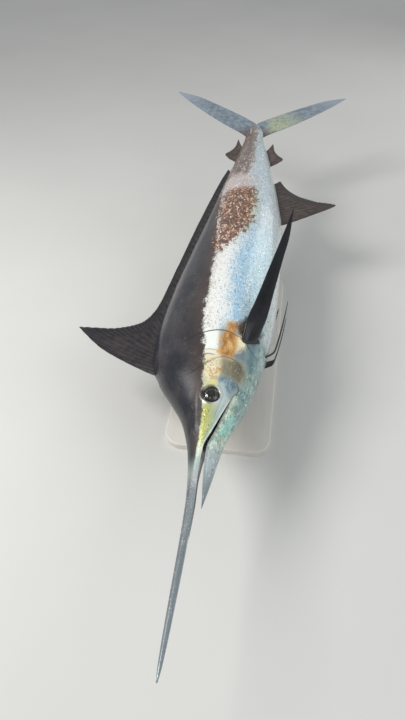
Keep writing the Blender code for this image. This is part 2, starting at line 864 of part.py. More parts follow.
def rounded_plate(name, length, width, thickness, corner, edge, colour, roughness, metallic):
    """A flat plate with round corners and a chamfered top edge, standing on the floor."""
    corners = []
    for cx, cy, start in (
        (1, 1, 0),
        (-1, 1, 90),
        (-1, -1, 180),
        (1, -1, 270),
    ):
        for k in range(7):
            angle = math.radians(start + 90 * k / 6)
            corners.append((cx * (width / 2 - corner), cy * (length / 2 - corner), angle))
    rings = []
    for z, inset in ((0, 0), (thickness - edge, 0), (thickness, edge)):
        rings.append(
            [
                Vector((x + (corner - inset) * math.cos(a), y + (corner - inset) * math.sin(a), z))
                for x, y, a in corners
            ]
        )
    return add_mesh(name, *loft(rings), colour, roughness, metallic)


def cylinder(name, x, y, low, high, radius, colour, roughness, metallic, sides=20):
    turns = [2 * math.pi * k / sides for k in range(sides)]
    rings = [
        [Vector((x + radius * math.cos(a), y + radius * math.sin(a), z)) for a in turns]
        for z in (low, high)
    ]
    return add_mesh(name, *loft(rings), colour, roughness, metallic)


def make_stand(cutter, board, steel):
    size = (base_length, base_width, base_thickness, base_corner, base_edge)
    rounded_plate("stand_base", *size, board, 0.5, 0.0)
    flange_low = base_thickness + gap
    flange_top = flange_low + flange_thickness
    for end, share in zip(("front", "rear"), rod_shares):
        foot = place(share * fork_length, rod_height * fork_length, 0)
        flange = (foot.x, foot.y, flange_low, flange_top, flange_radius)
        cylinder("stand_flange_" + end, *flange, steel, 0.3, 1.0)
        bar = (foot.x, foot.y, flange_top + gap, foot.z, rod_radius)
        rod = cylinder("stand_rod_" + end, *bar, steel, 0.3, 1.0)
        cut_with(rod, cutter)
        keep_largest(rod)


def main():
    for obj in list(bpy.data.objects):
        bpy.data.objects.remove(obj)
    silver = (0.72, 0.78, 0.80)
    bone = (0.33, 0.36, 0.38)
    olive = (0.52, 0.55, 0.30)
    teal = (0.50, 0.66, 0.62)
    bronze = (0.60, 0.38, 0.17)
    brown = (0.16, 0.13, 0.11)
    black = (0.03, 0.03, 0.035)
    grey = (0.40, 0.42, 0.46)
    cutter = make_body_cutter()
    make_bill(bone, 0.45)
    make_head(olive, 0.3)
    make_lower_jaw(teal, 0.3)
    make_eyes((0.03, 0.03, 0.03), 0.1)
    make_gill_covers(cutter, bronze, 0.3)
    make_trunk(silver, 0.25)
    make_tail_stock(brown, 0.35)
    make_median_fins(cutter, black, brown, 0.4)
    make_tail_fin(cutter, grey, 0.4)
    make_paired_fins(cutter, black, 0.4)
    make_stand(cutter, (0.62, 0.62, 0.60), (0.60, 0.60, 0.61))
    bpy.data.objects.remove(cutter)
    for obj in bpy.data.objects:
        obj.data.shade_smooth()
        obj.data.set_sharp_from_angle(angle=math.radians(35))


main()
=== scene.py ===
# A blue marlin as a still display model: one skin over the fish's flesh, its fins, its eyes and the
# stand. The fish is described as in its solids: share back from the tip of the lower jaw, height
# towards the back fin and side towards the fish's left, as parts of the length from jaw to tail fork.

import math
import random

import bpy
import numpy as np
from mathutils import Matrix, Vector


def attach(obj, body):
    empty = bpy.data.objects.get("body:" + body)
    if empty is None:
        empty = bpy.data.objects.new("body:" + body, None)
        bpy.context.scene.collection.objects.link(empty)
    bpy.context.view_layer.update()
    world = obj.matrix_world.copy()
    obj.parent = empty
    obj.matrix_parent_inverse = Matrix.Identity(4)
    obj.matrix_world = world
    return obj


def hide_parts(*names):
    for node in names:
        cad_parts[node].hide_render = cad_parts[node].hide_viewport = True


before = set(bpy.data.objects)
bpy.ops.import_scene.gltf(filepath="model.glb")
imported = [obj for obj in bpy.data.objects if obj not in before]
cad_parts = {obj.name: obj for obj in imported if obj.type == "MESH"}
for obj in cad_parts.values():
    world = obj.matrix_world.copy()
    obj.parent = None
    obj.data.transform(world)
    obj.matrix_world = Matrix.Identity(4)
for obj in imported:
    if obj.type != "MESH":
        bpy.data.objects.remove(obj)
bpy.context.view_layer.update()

body = {
    "length": 2.60,  # jaw tip to tail fork, metres
    "midplane": 0.38,  # height of the fish's middle over the floor
    "tailLift": 0.15,  # how far the bend raises the tail fork
    "bendStart": 0.30,
    "balance": 0.44,  # share that stands over the middle of the base
    "upperFullness": 1.85,
    "lowerFullness": 2.05,
    # share, top, bottom, half width
    "outline": (
        (-0.200, 0.0058, 0.0042, 0.0010), (-0.185, 0.0072, 0.0026, 0.0026),
        (-0.150, 0.0083, 0.0012, 0.0040), (-0.100, 0.0090, 0.0002, 0.0052),
        (-0.050, 0.0096, -0.0010, 0.0062), (0.000, 0.0108, -0.0120, 0.0076),
        (0.040, 0.0143, -0.0165, 0.0110), (0.080, 0.0205, -0.0218, 0.0172),
        (0.110, 0.0290, -0.0278, 0.0240), (0.135, 0.0390, -0.0365, 0.0305),
        (0.165, 0.0580, -0.0475, 0.0385), (0.200, 0.0820, -0.0555, 0.0465),
        (0.240, 0.0975, -0.0635, 0.0540), (0.300, 0.1035, -0.0725, 0.0605),
        (0.400, 0.0985, -0.0770, 0.0620), (0.500, 0.0880, -0.0770, 0.0580),
        (0.600, 0.0755, -0.0725, 0.0505), (0.700, 0.0620, -0.0590, 0.0405),
        (0.800, 0.0475, -0.0410, 0.0295), (0.880, 0.0355, -0.0240, 0.0210),
        (0.930, 0.0295, -0.0125, 0.0160), (0.960, 0.0270, -0.0095, 0.0120),
        (0.980, 0.0225, -0.0045, 0.0050),
    ),
}

mouth = {
    # share, height of the upper jaw's edge
    "line": (
        (-0.060, -0.0002), (0.000, -0.0006), (0.050, 0.0012), (0.080, 0.0002), (0.105, -0.0080),
        (0.160, -0.0280), (0.195, -0.0410),
    ),
    "corner": 0.160,
    "open": 0.0085,
    "narrow": 0.93,
    "tipRun": 0.050,
    "palateArch": 0.0016,
    "palateRun": (-0.06, 0.0, 0.13, 0.160),
    "floorDip": 0.0016,
    "floorRun": (0.0, 0.03, 0.13, 0.160),
    "lipRun": (0.015, 0.06, 0.140, 0.160),
    "lowerLip": 0.7,  # height of the lower lip, as a part of the upper one's
    "jawColour": (0.0, 0.02, 0.170, 0.200),
    "jawColourEdge": 0.0015,
    "insideRun": (-0.02, 0.02),
    # reach from the lip's edge, width and height in metres
    "lip": (0.0, 0.0042, 0.0026),
    "groove": (0.0085, 0.0022, -0.0008),
    # The mouth's slit is painted dark along the lower lip's edge as shade
    "darkEdge": (0.0052, 0.85),  # width and strength
    "darkRun": (0.055, 0.085),
}

gill = {
    # angle round the section from the top, in degrees, and share of the cover's rear edge
    "edge": (
        (0, 0.232), (45, 0.236), (60, 0.2405), (69, 0.2450), (83, 0.2560), (105, 0.2650), (119, 0.2600),
        (131, 0.2500), (150, 0.2400), (161, 0.2230), (180, 0.2080),
    ),
    # angle, how far the cover's edge stands off the body, metres
    "lift": (
        (0, 0.0), (58, 0.0), (72, 0.0048), (100, 0.0060), (132, 0.0056), (155, 0.0030), (172, 0.0012),
        (180, 0.0),
    ),
    "middle": 0.2643,
    "shoulder": 0.44,
    "start": 0.194,
    "lastRow": 0.0026,  # share from the cover's last plain row to its edge
    "firstRow": 0.0012,  # and from the edge to the first one behind
    "apart": 0.00012,  # least distance between the rows of the rim, metres
    # metres along the fish past the edge, and parts of the edge's lift
    "rim": (
        (-0.0040, 1.00), (-0.0012, 0.97), (-0.0002, 0.84), (0.0000, 0.66), (-0.0014, 0.54), (-0.0080, 0.44),
        (-0.0100, 0.10), (-0.0060, -0.10), (0.0010, -0.02),
    ),
}

eye = {
    "place": (0.156, -0.0005),
    "radius": 0.031,
    "halfDepth": 0.018,
    "sink": 0.0105,
    # reach from the middle, width and height in metres
    "rim": (0.0335, 0.0030, 0.0024),
    "paintedRim": (0.0345, 0.0036),
    "hollow": (0.0240, 0.0325, 0.0072),  # from, to and depth
    # Reach from the middle over which the gap round the eyeball is painted dark as shade
    "dark": (0.0305, 0.0330),
    "flatReach": 0.42,  # how far out the front is flattened, as a part of the radius
    "behind": 1.5,  # what stands for the reach from the axis behind the front
}

skinGrid = {
    "upper": 54,  # columns on each side from the back's ridge to the mouth's line
    "lower": 42,  # and from there to the belly's middle
    "inside": 30,  # points across the palate and the mouth's floor
    "nearMouth": 1.5,  # how much the columns crowd to the mouth in the head
    "nearFins": 1.45,  # and to the midline behind it
    "headEnd": (0.20, 0.34),  # shares between which the one becomes the other
    "billGuide": 130,  # most that the mouth's line is round from the back on the bill, in degrees
    "flankGuide": 125,  # where the line between upper and lower columns runs on the flank
    "slopeStep": (0.0008, 0.004),  # share and angle to either side where the slope is taken
    # first share, last share, rows, how much they crowd towards the first
    "billRows": (-0.200, 0.0, 34, 1.5),
    "headRows": (0.0, 0.160, 128, 1.0),
    "cheekRows": (0.160, 0.2643, 84, 1.0),
    "shoulderRows": (0.2643, 0.44, 56, 1.35),
    "trunkRows": (0.44, 0.86, 66, 1.0),
    "stockRows": (0.86, 0.980, 54, 1.0),
}


# The table's columns at each x, on curves that don't overshoot
def tableAt(table, x):
    rows = np.array(table, float)
    xs, ys = rows[:, 0], rows[:, 1:]
    slopes = np.diff(ys, axis=0) / np.diff(xs)[:, None]
    both = slopes[:-1] * slopes[1:]
    inner = np.where(both > 0, 2 * both / np.where(both > 0, slopes[:-1] + slopes[1:], 1), 0)
    tangents = np.concatenate([slopes[:1], inner, slopes[-1:]])
    x = np.clip(np.asarray(x, float), xs[0], xs[-1])
    i = np.clip(np.searchsorted(xs, x) - 1, 0, len(xs) - 2)
    span = (xs[i + 1] - xs[i])[..., None]
    t = (x - xs[i])[..., None] / span
    return (
        (2 * t**3 - 3 * t**2 + 1) * ys[i]
        + (t**3 - 2 * t**2 + t) * span * tangents[i]
        + (3 * t**2 - 2 * t**3) * ys[i + 1]
        + (t**3 - t**2) * span * tangents[i + 1]
    )


def oneAt(table, x):
    return tableAt(table, x)[..., 0]


def columnsAt(table, x):
    return np.moveaxis(tableAt(table, x), -1, 0)


def ease(x, start, end):
    t = np.clip((np.asarray(x, float) - start) / (end - start), 0, 1)
    return t * t * (3 - 2 * t)


# In over the first two values and out over the last two
def between(x, start, full, fade, end):
    return ease(x, start, full) * (1 - ease(x, fade, end))


# 1 at a distance of 0, less to either side
def hump(distance, width):
    return np.exp(-((distance / width) ** 2))


def signedPower(value, power):
    return np.sign(value) * np.abs(value) ** power


# Points of the fish, in shares, in the row frame's metres
def toFrame(share, height, side):
    bend = np.maximum(share - body["bendStart"], 0) / (1 - body["bendStart"])
    x = -height * body["length"]
    y = (share - body["balance"]) * body["length"]
    z = body["midplane"] + side * body["length"] + body["tailLift"] * bend**2
    return np.stack(np.broadcast_arrays(x, y, z), axis=-1)


def deselectAll():
    bpy.ops.object.select_all(action="DESELECT")


# Patches of colour over the head and flank, the same on both sides: width of the soft edge in metres
# and outline, as share and height
patches = {
    "amber": (
        0.024,
        ((0.2815, -0.009), (0.286, -0.0195), (0.2734, -0.021), (0.2573, -0.0221), (0.2388, -0.0226),
         (0.223, -0.0221), (0.218, -0.015), (0.219, -0.008), (0.223, -0.0043), (0.2336, -0.0022),
         (0.2492, -0.0012), (0.26, -0.0025), (0.266, -0.008), (0.2732, -0.0096)),
    ),
    "creamSide": (
        0.022,
        ((0.23, -0.025), (0.24, -0.035), (0.252, -0.0345), (0.263, -0.028), (0.258, -0.0225),
         (0.244, -0.0235)),
    ),
    "cream": (
        0.034,
        ((0.178, 0.013), (0.171, 0.002), (0.176, -0.005), (0.186, -0.007), (0.2, -0.009),
         (0.212, -0.007), (0.222, -0.005), (0.235, 0.0), (0.252, 0.002), (0.262, 0.008), (0.266, 0.018),
         (0.262, 0.027), (0.24, 0.023), (0.216, 0.019), (0.196, 0.016)),
    ),
    "cheekGrey": (
        0.028,
        ((0.213, -0.008), (0.2185, -0.016), (0.219, -0.029), (0.2125, -0.0385), (0.2005, -0.042),
         (0.187, -0.037), (0.1805, -0.0265), (0.184, -0.015), (0.197, -0.0095)),
    ),
    "cheekBlue": (
        0.022,
        ((0.181, -0.007), (0.187, -0.014), (0.185, -0.028), (0.177, -0.036), (0.168, -0.029),
         (0.158, -0.0255), (0.16, -0.018), (0.172, -0.013)),
    ),
    "yellowEye": (
        0.016,
        ((0.167, 0.01), (0.174, 0.0115), (0.178, 0.004), (0.176, -0.004), (0.1715, -0.009),
         (0.169, -0.003)),
    ),
    "lime": (
        0.024,
        ((0.142, -0.004), (0.14, 0.0085), (0.124, 0.009), (0.105, 0.0082), (0.088, 0.0066),
         (0.07, 0.0054), (0.074, 0.0024), (0.092, -0.0022), (0.108, -0.0068), (0.126, -0.01)),
    ),
    "paleFold": (
        0.018,
        ((0.122, -0.009), (0.14, -0.01), (0.156, -0.0135), (0.167, -0.012), (0.173, -0.008),
         (0.176, -0.012), (0.168, -0.02), (0.152, -0.0225), (0.138, -0.0185), (0.122, -0.014)),
    ),
    "turquoise": (
        0.02,
        ((0.104, -0.018), (0.118, -0.022), (0.13, -0.0265), (0.139, -0.0305), (0.134, -0.0345),
         (0.12, -0.029), (0.106, -0.0235)),
    ),
    "underShade": (
        0.03,
        ((0.226, -0.036), (0.242, -0.036), (0.262, -0.031), (0.271, -0.038), (0.262, -0.05),
         (0.238, -0.051), (0.214, -0.047)),
    ),
    "finBase": (
        0.022,
        ((0.261, -0.031), (0.276, -0.021), (0.293, -0.026), (0.306, -0.037), (0.3, -0.054),
         (0.284, -0.059), (0.268, -0.053), (0.258, -0.042)),
    ),
    "copper": (
        0.07,
        ((0.462, 0.036), (0.476, 0.018), (0.505, 0.004), (0.535, -0.008), (0.58, -0.019), (0.64, -0.019),
         (0.688, -0.014), (0.702, 0.004), (0.704, 0.026), (0.694, 0.046), (0.64, 0.05), (0.58, 0.046),
         (0.52, 0.04)),
    ),
    "pinkTop": (
        0.06,
        ((0.694, 0.048), (0.696, 0.012), (0.708, -0.006), (0.738, -0.008), (0.756, 0.016),
         (0.748, 0.048)),
    ),
    "stock": (
        0.06,
        ((0.745, 0.06), (0.748, 0.006), (0.79, 0.003), (0.84, 0.002), (0.89, 0.001), (0.94, 0.004),
         (0.995, 0.006), (0.995, 0.06), (0.88, 0.07), (0.8, 0.07)),
    ),
}


# A smooth closed curve through points
def closedCurve(points, steps=6):
    points = np.array(points)
    t = np.linspace(0, 1, steps, endpoint=False)[:, None]
    curve = []
    for a, b, c, d in zip(*(np.roll(points, shift, 0) for shift in (1, 0, -1, -2))):
        bend = (2 * a - 5 * b + 4 * c - d) * t**2 + (3 * b - a - 3 * c + d) * t**3
        curve.append(0.5 * (2 * b + (c - a) * t + bend))
    return np.concatenate(curve)


# How far points are from a step of a line, and which part of the step is nearest
def fromStep(start, step, share, height):
    t = ((share - start[0]) * step[0] + (height - start[1]) * step[1]) / (step @ step)
    t = np.clip(t, 0, 1)
    return np.hypot(share - start[0] - t * step[0], height - start[1] - t * step[1]), t


# 1 well inside a patch, 0 well outside and a half on its edge
def patchField(soft, outline, share, height):
    curve = closedCurve(outline)
    field = np.zeros(share.shape)
    reach = soft / body["length"]
    near = (share > curve[:, 0].min() - reach) & (share < curve[:, 0].max() + reach)
    x, y = share[near], height[near]
    nearest = np.full(x.shape, np.inf)
    inside = np.zeros(x.shape, bool)
    for a, b in zip(curve, np.roll(curve, -1, 0)):
        nearest = np.minimum(nearest, fromStep(a, b - a, x, y)[0])
        rise = b[1] - a[1]
        if rise:
            inside ^= ((a[1] > y) != (b[1] > y)) & (x < a[0] + (b[0] - a[0]) * (y - a[1]) / rise)
    signed = np.where(inside, nearest, -nearest) * body["length"]
    field[near] = np.clip(0.5 + signed / (2 * soft), 0, 1)
    return field


# Half a section of the body: height and side at an angle from the back's ridge
def sectionAt(share, angle):
    top, bottom, half = columnsAt(body["outline"], share)
    middle = (top + bottom) / 2
    up, out = np.cos(angle), np.sin(angle)
    power = 2 / np.where(up > 0, body["upperFullness"], body["lowerFullness"])
    return middle + (top - middle) * signedPower(up, power), half * signedPower(out, power)


def angleOf(share, height):
    top, bottom, _ = columnsAt(body["outline"], share)
    middle = (top + bottom) / 2
    level = np.clip((height - middle) / (top - middle), -1, 1)
    power = np.where(level > 0, body["upperFullness"], body["lowerFullness"]) / 2
    return np.arccos(signedPower(level, power))


# The lower jaw's edge
def jawLine(share):
    return oneAt(mouth["line"], share) - mouth["open"] * np.maximum(1 - share / mouth["corner"], 0)


def jawAt(share, angle):
    height, side = sectionAt(share, angle)
    line = jawLine(share)
    run = np.clip(share / mouth["tipRun"], 0, 1)
    drawIn = np.sqrt(1 - (1 - run) ** 2)
    widen = ease(share, mouth["corner"] / 2, mouth["corner"])
    narrow = mouth["narrow"] + (1 - mouth["narrow"]) * widen
    return line - (line - height) * drawIn, side * narrow * drawIn


# The angle of the column that follows the mouth's line and then the flank
def guideAngle(share):
    end = mouth["line"][-1][0]
    angle = angleOf(np.minimum(share, end), oneAt(mouth["line"], share))
    angle = np.where(share < 0, np.minimum(angle, math.radians(skinGrid["billGuide"])), angle)
    rest = ease(share, end, skinGrid["headEnd"][1])
    return angle * (1 - rest) + math.radians(skinGrid["flankGuide"]) * rest


# Angles of the upper and lower columns; they crowd to the mouth in the head and to the fins behind
def columnAngles(share, guide):
    guide = guide[..., None]
    behind = ease(share, *skinGrid["headEnd"])[..., None]
    atMouth = skinGrid["nearMouth"] + (1 - skinGrid["nearMouth"]) * behind
    atFins = 1 + (skinGrid["nearFins"] - 1) * behind
    t = np.linspace(0, 1, skinGrid["upper"] + 1)
    upper = guide * (1 - (1 - t) ** atMouth) ** atFins
    t = np.linspace(0, 1, skinGrid["lower"] + 1)
    lower = guide + (math.pi - guide) * (1 - (1 - t**atMouth) ** atFins)
    return upper, lower


# Each column's angle where every column has a share of its own
def ownAngles(share):
    upper, lower = columnAngles(share, guideAngle(share))
    pick = np.arange(len(share))
    return np.concatenate([upper, lower[:, 1:]], axis=1)[pick, pick]


# Where the body's surface is and which way is out
def surfaceAt(section, share, angle, hand):
    def point(ahead, round_):
        height, side = section(share + ahead, angle + round_)
        return toFrame(share + ahead, height, side * hand)

    height, side = section(share, angle)
    moreShare, moreAngle = skinGrid["slopeStep"]
    along = point(moreShare, 0) - point(-moreShare, 0)
    sideways = point(0, moreAngle) - point(0, -moreAngle)
    out = np.cross(sideways, along) * np.asarray(hand)[..., None]
    out /= np.maximum(np.linalg.norm(out, axis=-1, keepdims=True), 1e-12)
    return toFrame(share, height, side * hand), out, height, side * hand


# Lines on the head and flank: height of the relief and half its width in metres, how dark its floor is
# painted as shade, and its path, as share and height
creases = {
    "preopercle": (
        -0.0016, 0.002, 0.75,
        ((0.187, 0.036), (0.193, 0.026), (0.1991, 0.0166), (0.2053, 0.011), (0.2099, 0.0063),
         (0.2152, -0.0018), (0.219, -0.012), (0.218, -0.024), (0.21, -0.034), (0.198, -0.041)),
    ),
    "preopercle swell": (
        0.0011, 0.0055, 0.0,
        ((0.184, 0.034), (0.1905, 0.024), (0.196, 0.015), (0.202, 0.009), (0.2065, 0.0045),
         (0.2115, -0.0028), (0.215, -0.012), (0.214, -0.023), (0.206, -0.032), (0.194, -0.039)),
    ),
    "under eye": (
        -0.0012, 0.0016, 0.35,
        ((0.1735, -0.006), (0.1667, -0.0115), (0.1572, -0.0152), (0.144, -0.0132), (0.1312, -0.0102),
         (0.118, -0.0078)),
    ),
    "under eye fold": (
        0.0009, 0.0026, 0.0,
        ((0.1755, -0.01), (0.169, -0.0155), (0.1572, -0.0192), (0.144, -0.0165), (0.13, -0.0125)),
    ),
    "mouth end": (
        -0.0022, 0.0017, 0.9,
        ((0.156, -0.0268), (0.1625, -0.03), (0.17, -0.0338), (0.1768, -0.0356), (0.1822, -0.0326),
         (0.1838, -0.0275)),
    ),
    "jaw blade": (
        0.0014, 0.005, 0.0,
        ((0.09, 0.003), (0.11, -0.0055), (0.13, -0.0125), (0.15, -0.0205), (0.164, -0.0268),
         (0.174, -0.03)),
    ),
    "cheek wrinkle 1": (-0.0009, 0.002, 0.7, ((0.224, 0.019), (0.2268, 0.011), (0.2262, 0.0))),
    "cheek wrinkle 2": (-0.001, 0.0024, 0.9, ((0.215, 0.0205), (0.219, 0.0125), (0.2185, 0.002))),
    "cheek wrinkle 3": (
        -0.001, 0.003, 1.0,
        ((0.195, 0.025), (0.2005, 0.018), (0.206, 0.0115), (0.2085, 0.006)),
    ),
    "cover fold 1": (-0.0008, 0.0022, 0.15, ((0.218, -0.02), (0.229, -0.026), (0.24, -0.03))),
    "cover fold 2": (-0.001, 0.0022, 0.2, ((0.208, -0.038), (0.22, -0.041), (0.232, -0.044))),
    "cover fold 3": (-0.0006, 0.003, 0.0, ((0.222, -0.004), (0.238, -0.006), (0.253, -0.007))),
    "fin base fold": (
        0.002, 0.0036, 0.0,
        ((0.2585, -0.04), (0.261, -0.032), (0.267, -0.025), (0.277, -0.0215), (0.288, -0.0245),
         (0.298, -0.032), (0.307, -0.04)),
    ),
    "fin base groove": (
        -0.0016, 0.0022, 0.6,
        ((0.266, -0.038), (0.27, -0.031), (0.278, -0.0275), (0.287, -0.0305), (0.296, -0.038),
         (0.304, -0.045)),
    ),
    "brow": (
        0.0022, 0.011, 0.0,
        ((0.1, 0.013), (0.125, 0.0165), (0.148, 0.0185), (0.17, 0.016), (0.183, 0.012)),
    ),
}
creaseFade = (0, 0.18, 0.82, 1)  # parts of a crease over which it comes and goes
creaseReach = 0.012  # share beyond its ends where it is looked for
finRoot = {
    "line": ((0.2550, -0.0335), (0.2690, -0.0490)),
    "rise": 0.0085,  # height of the flesh that the fin grows from, metres
    "reach": (0.009, 0.033),
    "dark": (0.009, 0.019),
}
nostrils = {
    "places": ((0.124, 0.0050), (0.131, 0.0070)),
    "pit": (0.0, 0.0026, -0.0030),  # reach, width and height in metres
    "rim": (0.0046, 0.0016, 0.0007),
}
# Folds side by side under the gill cover
throat = {
    "run": (0.160, 0.175, 0.215, 0.245),
    "angles": (138, 146, 168, 178),
    "depth": 0.0009,
    "folds": 58,
    "slant": 90,
}
keels = {
    # share, distance from the midplane
    "run": ((0.924, 0.0148), (0.945, 0.0138), (0.962, 0.0118), (0.976, 0.0084), (0.988, 0.0040)),
    "middle": 0.0087,
    "offsets": (0.0100, -0.0075),
    "closing": 0.4,
    "rise": 0.0048,
    "ends": 0.04,  # part of the swell that is cut off at each end
    "fullness": 0.75,
    "half": 0.0032,
    "roundness": 1.2,
}
sheaths = {
    # share where the fin's fleshy sheath begins and ends, how far it stands from the midline, metres
    "back": (0.212, 0.815, 0.0085),
    "back rear": (0.843, 0.900, 0.0060),
    "belly": (0.630, 0.775, 0.0080),
    "belly rear": (0.831, 0.890, 0.0060),
}
sheathFold = (0.0038, 0.0028)  # width and height in metres
sheathGroove = (0.0, 0.0040, -0.0020)
sheathFade = (0.008, 0.010)  # shares to either side of its beginning and end
flank = {
    "furrow": (0.28, 0.36, 0.86, 0.93),
    "furrowAngle": 84,
    "furrowWidth": 0.16,
    "furrowDepth": 0.0016,
    "muscles": (0.27, 0.40, 0.80, 0.92),
    "muscleWave": 0.0007,
    "waveRates": (95, 11),  # along the fish
    "waveLean": (2.2, 2.0, 3.1),  # and round it
    "vent": 0.604,
    "ventShape": (0.0, 0.006, -0.0030),
    "ventNarrow": 1.6,
}


# Distance in metres from a path over the flank, and how far along it the nearest point is
def nearPath(path, share, height):
    ends = np.linspace(0, 1, len(path))
    line = tableAt([(t, *spot) for t, spot in zip(ends, path)], np.linspace(0, 1, 37))
    best = np.full(np.shape(share), np.inf)
    along = np.zeros(np.shape(share))
    for i, (a, b) in enumerate(zip(line, line[1:])):
        far, t = fromStep(a, b - a, share, height)
        along = np.where(far < best, (i + t) / (len(line) - 1), along)
        best = np.minimum(best, far)
    return best * body["length"], along


# A ring at a reach from a middle or an edge: its reach, width and height
def ring(far, shape):
    return shape[2] * hump(far - shape[0], shape[1])


# Relief over the smooth body in metres, and the masks that the material reads, among them painted shade in
# creases, pits and the mouth's slit
def reliefAt(share, angle, height, side, isJaw):
    metres = body["length"]
    across = np.abs(side) * metres
    rise, dark = np.zeros(share.shape), np.zeros(share.shape)
    for relief, width, shade, path in creases.values():
        shares = [spot[0] for spot in path]
        near = (share > min(shares) - creaseReach) & (share < max(shares) + creaseReach)
        far, along = nearPath(path, share[near], height[near])
        line = hump(far, width) * between(along, *creaseFade)
        rise[near] += relief * line
        # the crease's floor is painted dark as shade
        dark[near] = np.maximum(dark[near], shade * line)

    fromEye = np.hypot(share - eye["place"][0], height - eye["place"][1]) * metres
    start, end, depth = eye["hollow"]
    rise += ring(fromEye, eye["rim"]) - depth * (1 - ease(fromEye, start, end))
    for place in nostrils["places"]:
        far = np.hypot(share - place[0], height - place[1]) * metres
        rise += ring(far, nostrils["pit"]) + ring(far, nostrils["rim"])
        # the nostril's pit is painted dark as shade
        dark = np.maximum(dark, hump(far, nostrils["pit"][1]))

    line = jawLine(share) if isJaw else oneAt(mouth["line"], share)
    fromLip = np.abs(height - line) * metres
    along = between(share, *mouth["lipRun"])
    full = mouth["lowerLip"] if isJaw else 1.0
    rise += (ring(fromLip, mouth["lip"]) * full + ring(fromLip, mouth["groove"])) * along
    if isJaw:
        # the mouth's slit is painted dark along the lower lip as shade
        width, strength = mouth["darkEdge"]
        dark = np.maximum(dark, strength * hump(fromLip, width) * ease(share, *mouth["darkRun"]))

    folds = between(share, *throat["run"]) * between(angle, *np.radians(throat["angles"]))
    wave = 0.5 + 0.5 * np.cos(angle * throat["folds"] + share * throat["slant"])
    rise -= throat["depth"] * folds * wave

    # Keels of the tail stock
    first, last = keels["run"][0][0], keels["run"][-1][0]
    t = np.clip((share - first) / (last - first), 0, 1)
    swell = np.sin(math.pi * (keels["ends"] + (1 - 2 * keels["ends"]) * t)) ** keels["fullness"]
    swell = swell * ((share > first) & (share < last))
    peak = (oneAt(keels["run"], share) + keels["rise"] * swell) * metres
    for offset in keels["offsets"]:
        level = keels["middle"] + offset * (1 - keels["closing"] * t)
        far = np.clip(np.abs(height - level) / keels["half"], 0, 1)
        rise += np.maximum(peak - across, 0) * (1 - far**2) ** keels["roundness"] * (swell > 0)

    # Sheaths beside the fins on the midline
    front, behind = sheathFade
    for name, (start, end, reach) in sheaths.items():
        onSide = angle < math.pi / 2 if name.startswith("back") else angle > math.pi / 2
        here = between(share, start - front, start + front, end - behind, end + behind) * onSide
        rise += (ring(across, (reach, *sheathFold)) + ring(across, sheathGroove)) * here

    # The pectoral fin's fleshy base, the flank's furrow, the muscles' slight waves and the vent
    fromFin, _ = nearPath(finRoot["line"], share, height)
    rise += finRoot["rise"] * (1 - ease(fromFin, *finRoot["reach"]))
    furrow = hump(angle - math.radians(flank["furrowAngle"]), flank["furrowWidth"])
    rise -= flank["furrowDepth"] * between(share, *flank["furrow"]) * furrow
    (first, second), (lean, turns, rounds) = flank["waveRates"], flank["waveLean"]
    wave = np.sin(share * first + lean * np.sin(angle * turns)) * np.cos(angle * rounds + share * second)
    rise += flank["muscleWave"] * wave * between(share, *flank["muscles"]) * np.sin(angle) ** 2
    vent = np.hypot((share - flank["vent"]) * metres, across * flank["ventNarrow"])
    rise += ring(vent, flank["ventShape"]) * (angle > math.pi / 2)
    return rise, {
        "dark": dark,
        "lip": hump(fromLip, mouth["lip"][1]) * along,
        "eyeRing": hump(fromEye - eye["paintedRim"][0], eye["paintedRim"][1]),
        "socket": 1 - ease(fromEye, *eye["dark"]),
        "finRoot": 1 - ease(fromFin, *finRoot["dark"]),
    }


# Heights where the flank's colours change: share, lower edge of the dark back, lower edge of the
# silver, upper edge of the belly
toneEdges = (
    (-0.060, 0.0070, -0.0100, -0.0200), (0.040, 0.0085, -0.0100, -0.0300),
    (0.100, 0.0080, -0.0160, -0.0330), (0.140, 0.0095, -0.0240, -0.0380), (0.176, 0.0137, -0.0300, -0.0420),
    (0.216, 0.0166, -0.0200, -0.0470), (0.262, 0.0230, -0.0060, -0.0500), (0.305, 0.0300, -0.0100, -0.0500),
    (0.354, 0.0300, -0.0040, -0.0500), (0.408, 0.0320, -0.0040, -0.0520), (0.487, 0.0340, -0.0080, -0.0550),
    (0.539, 0.0410, -0.0110, -0.0560), (0.618, 0.0457, -0.0080, -0.0500), (0.688, 0.0500, -0.0060, -0.0450),
    (0.830, 0.0330, -0.0020, -0.0260), (0.930, 0.0200, 0.0000, -0.0080),
)


# 0 at the belly's middle, 1 at its edge, 2 and 3 round the silver, 4 at the back's ridge
def toneAt(share, height):
    top, bottom, _ = columnsAt(body["outline"], share)
    back, silver, belly = columnsAt(toneEdges, share)
    belly, top = np.maximum(belly, bottom + 0.002), np.maximum(top, back + 0.002)
    levels = [bottom - 0.001, belly, silver, back, top]
    steps = [(height - low) / np.maximum(high - low, 0.001) for low, high in zip(levels, levels[1:])]
    return sum(np.clip(step, 0, 1) for step in steps)


# What the skin's material reads at each point
def skinFields(share, height, masks, inside=0.0, jaw=0.0):
    fields = {"share": share, "height": height, "tone": toneAt(share, height), **masks}
    for name, value in (("inside", inside), ("jaw", jaw)):
        fields[name] = np.broadcast_to(np.asarray(value, float), share.shape)
    for name, (soft, outline) in patches.items():
        fields[name] = patchField(soft, outline, share, height)
    return fields


# One side's surface with its relief: rows of columns in order round the fish
def reliefRows(section, share, angle, hand, isJaw, more=0.0):
    here, out, height, side = surfaceAt(section, share, angle, hand)
    rise, masks = reliefAt(share, angle, height, side, isJaw)
    under = 1.0 if isJaw else ease(oneAt(mouth["line"], share) - height, 0, mouth["jawColourEdge"])
    jaw = under * between(share, *mouth["jawColour"])
    return here + out * (rise + more)[..., None], skinFields(share, height, masks, 0.0, jaw)


def rowShares(*names):
    shares = []
    for name in names:
        start, end, rows, crowd = skinGrid[name]
        t = np.arange(rows) / rows
        shares.extend(start + (end - start) * t**crowd)
    return np.array([*shares, skinGrid[names[-1]][1]])


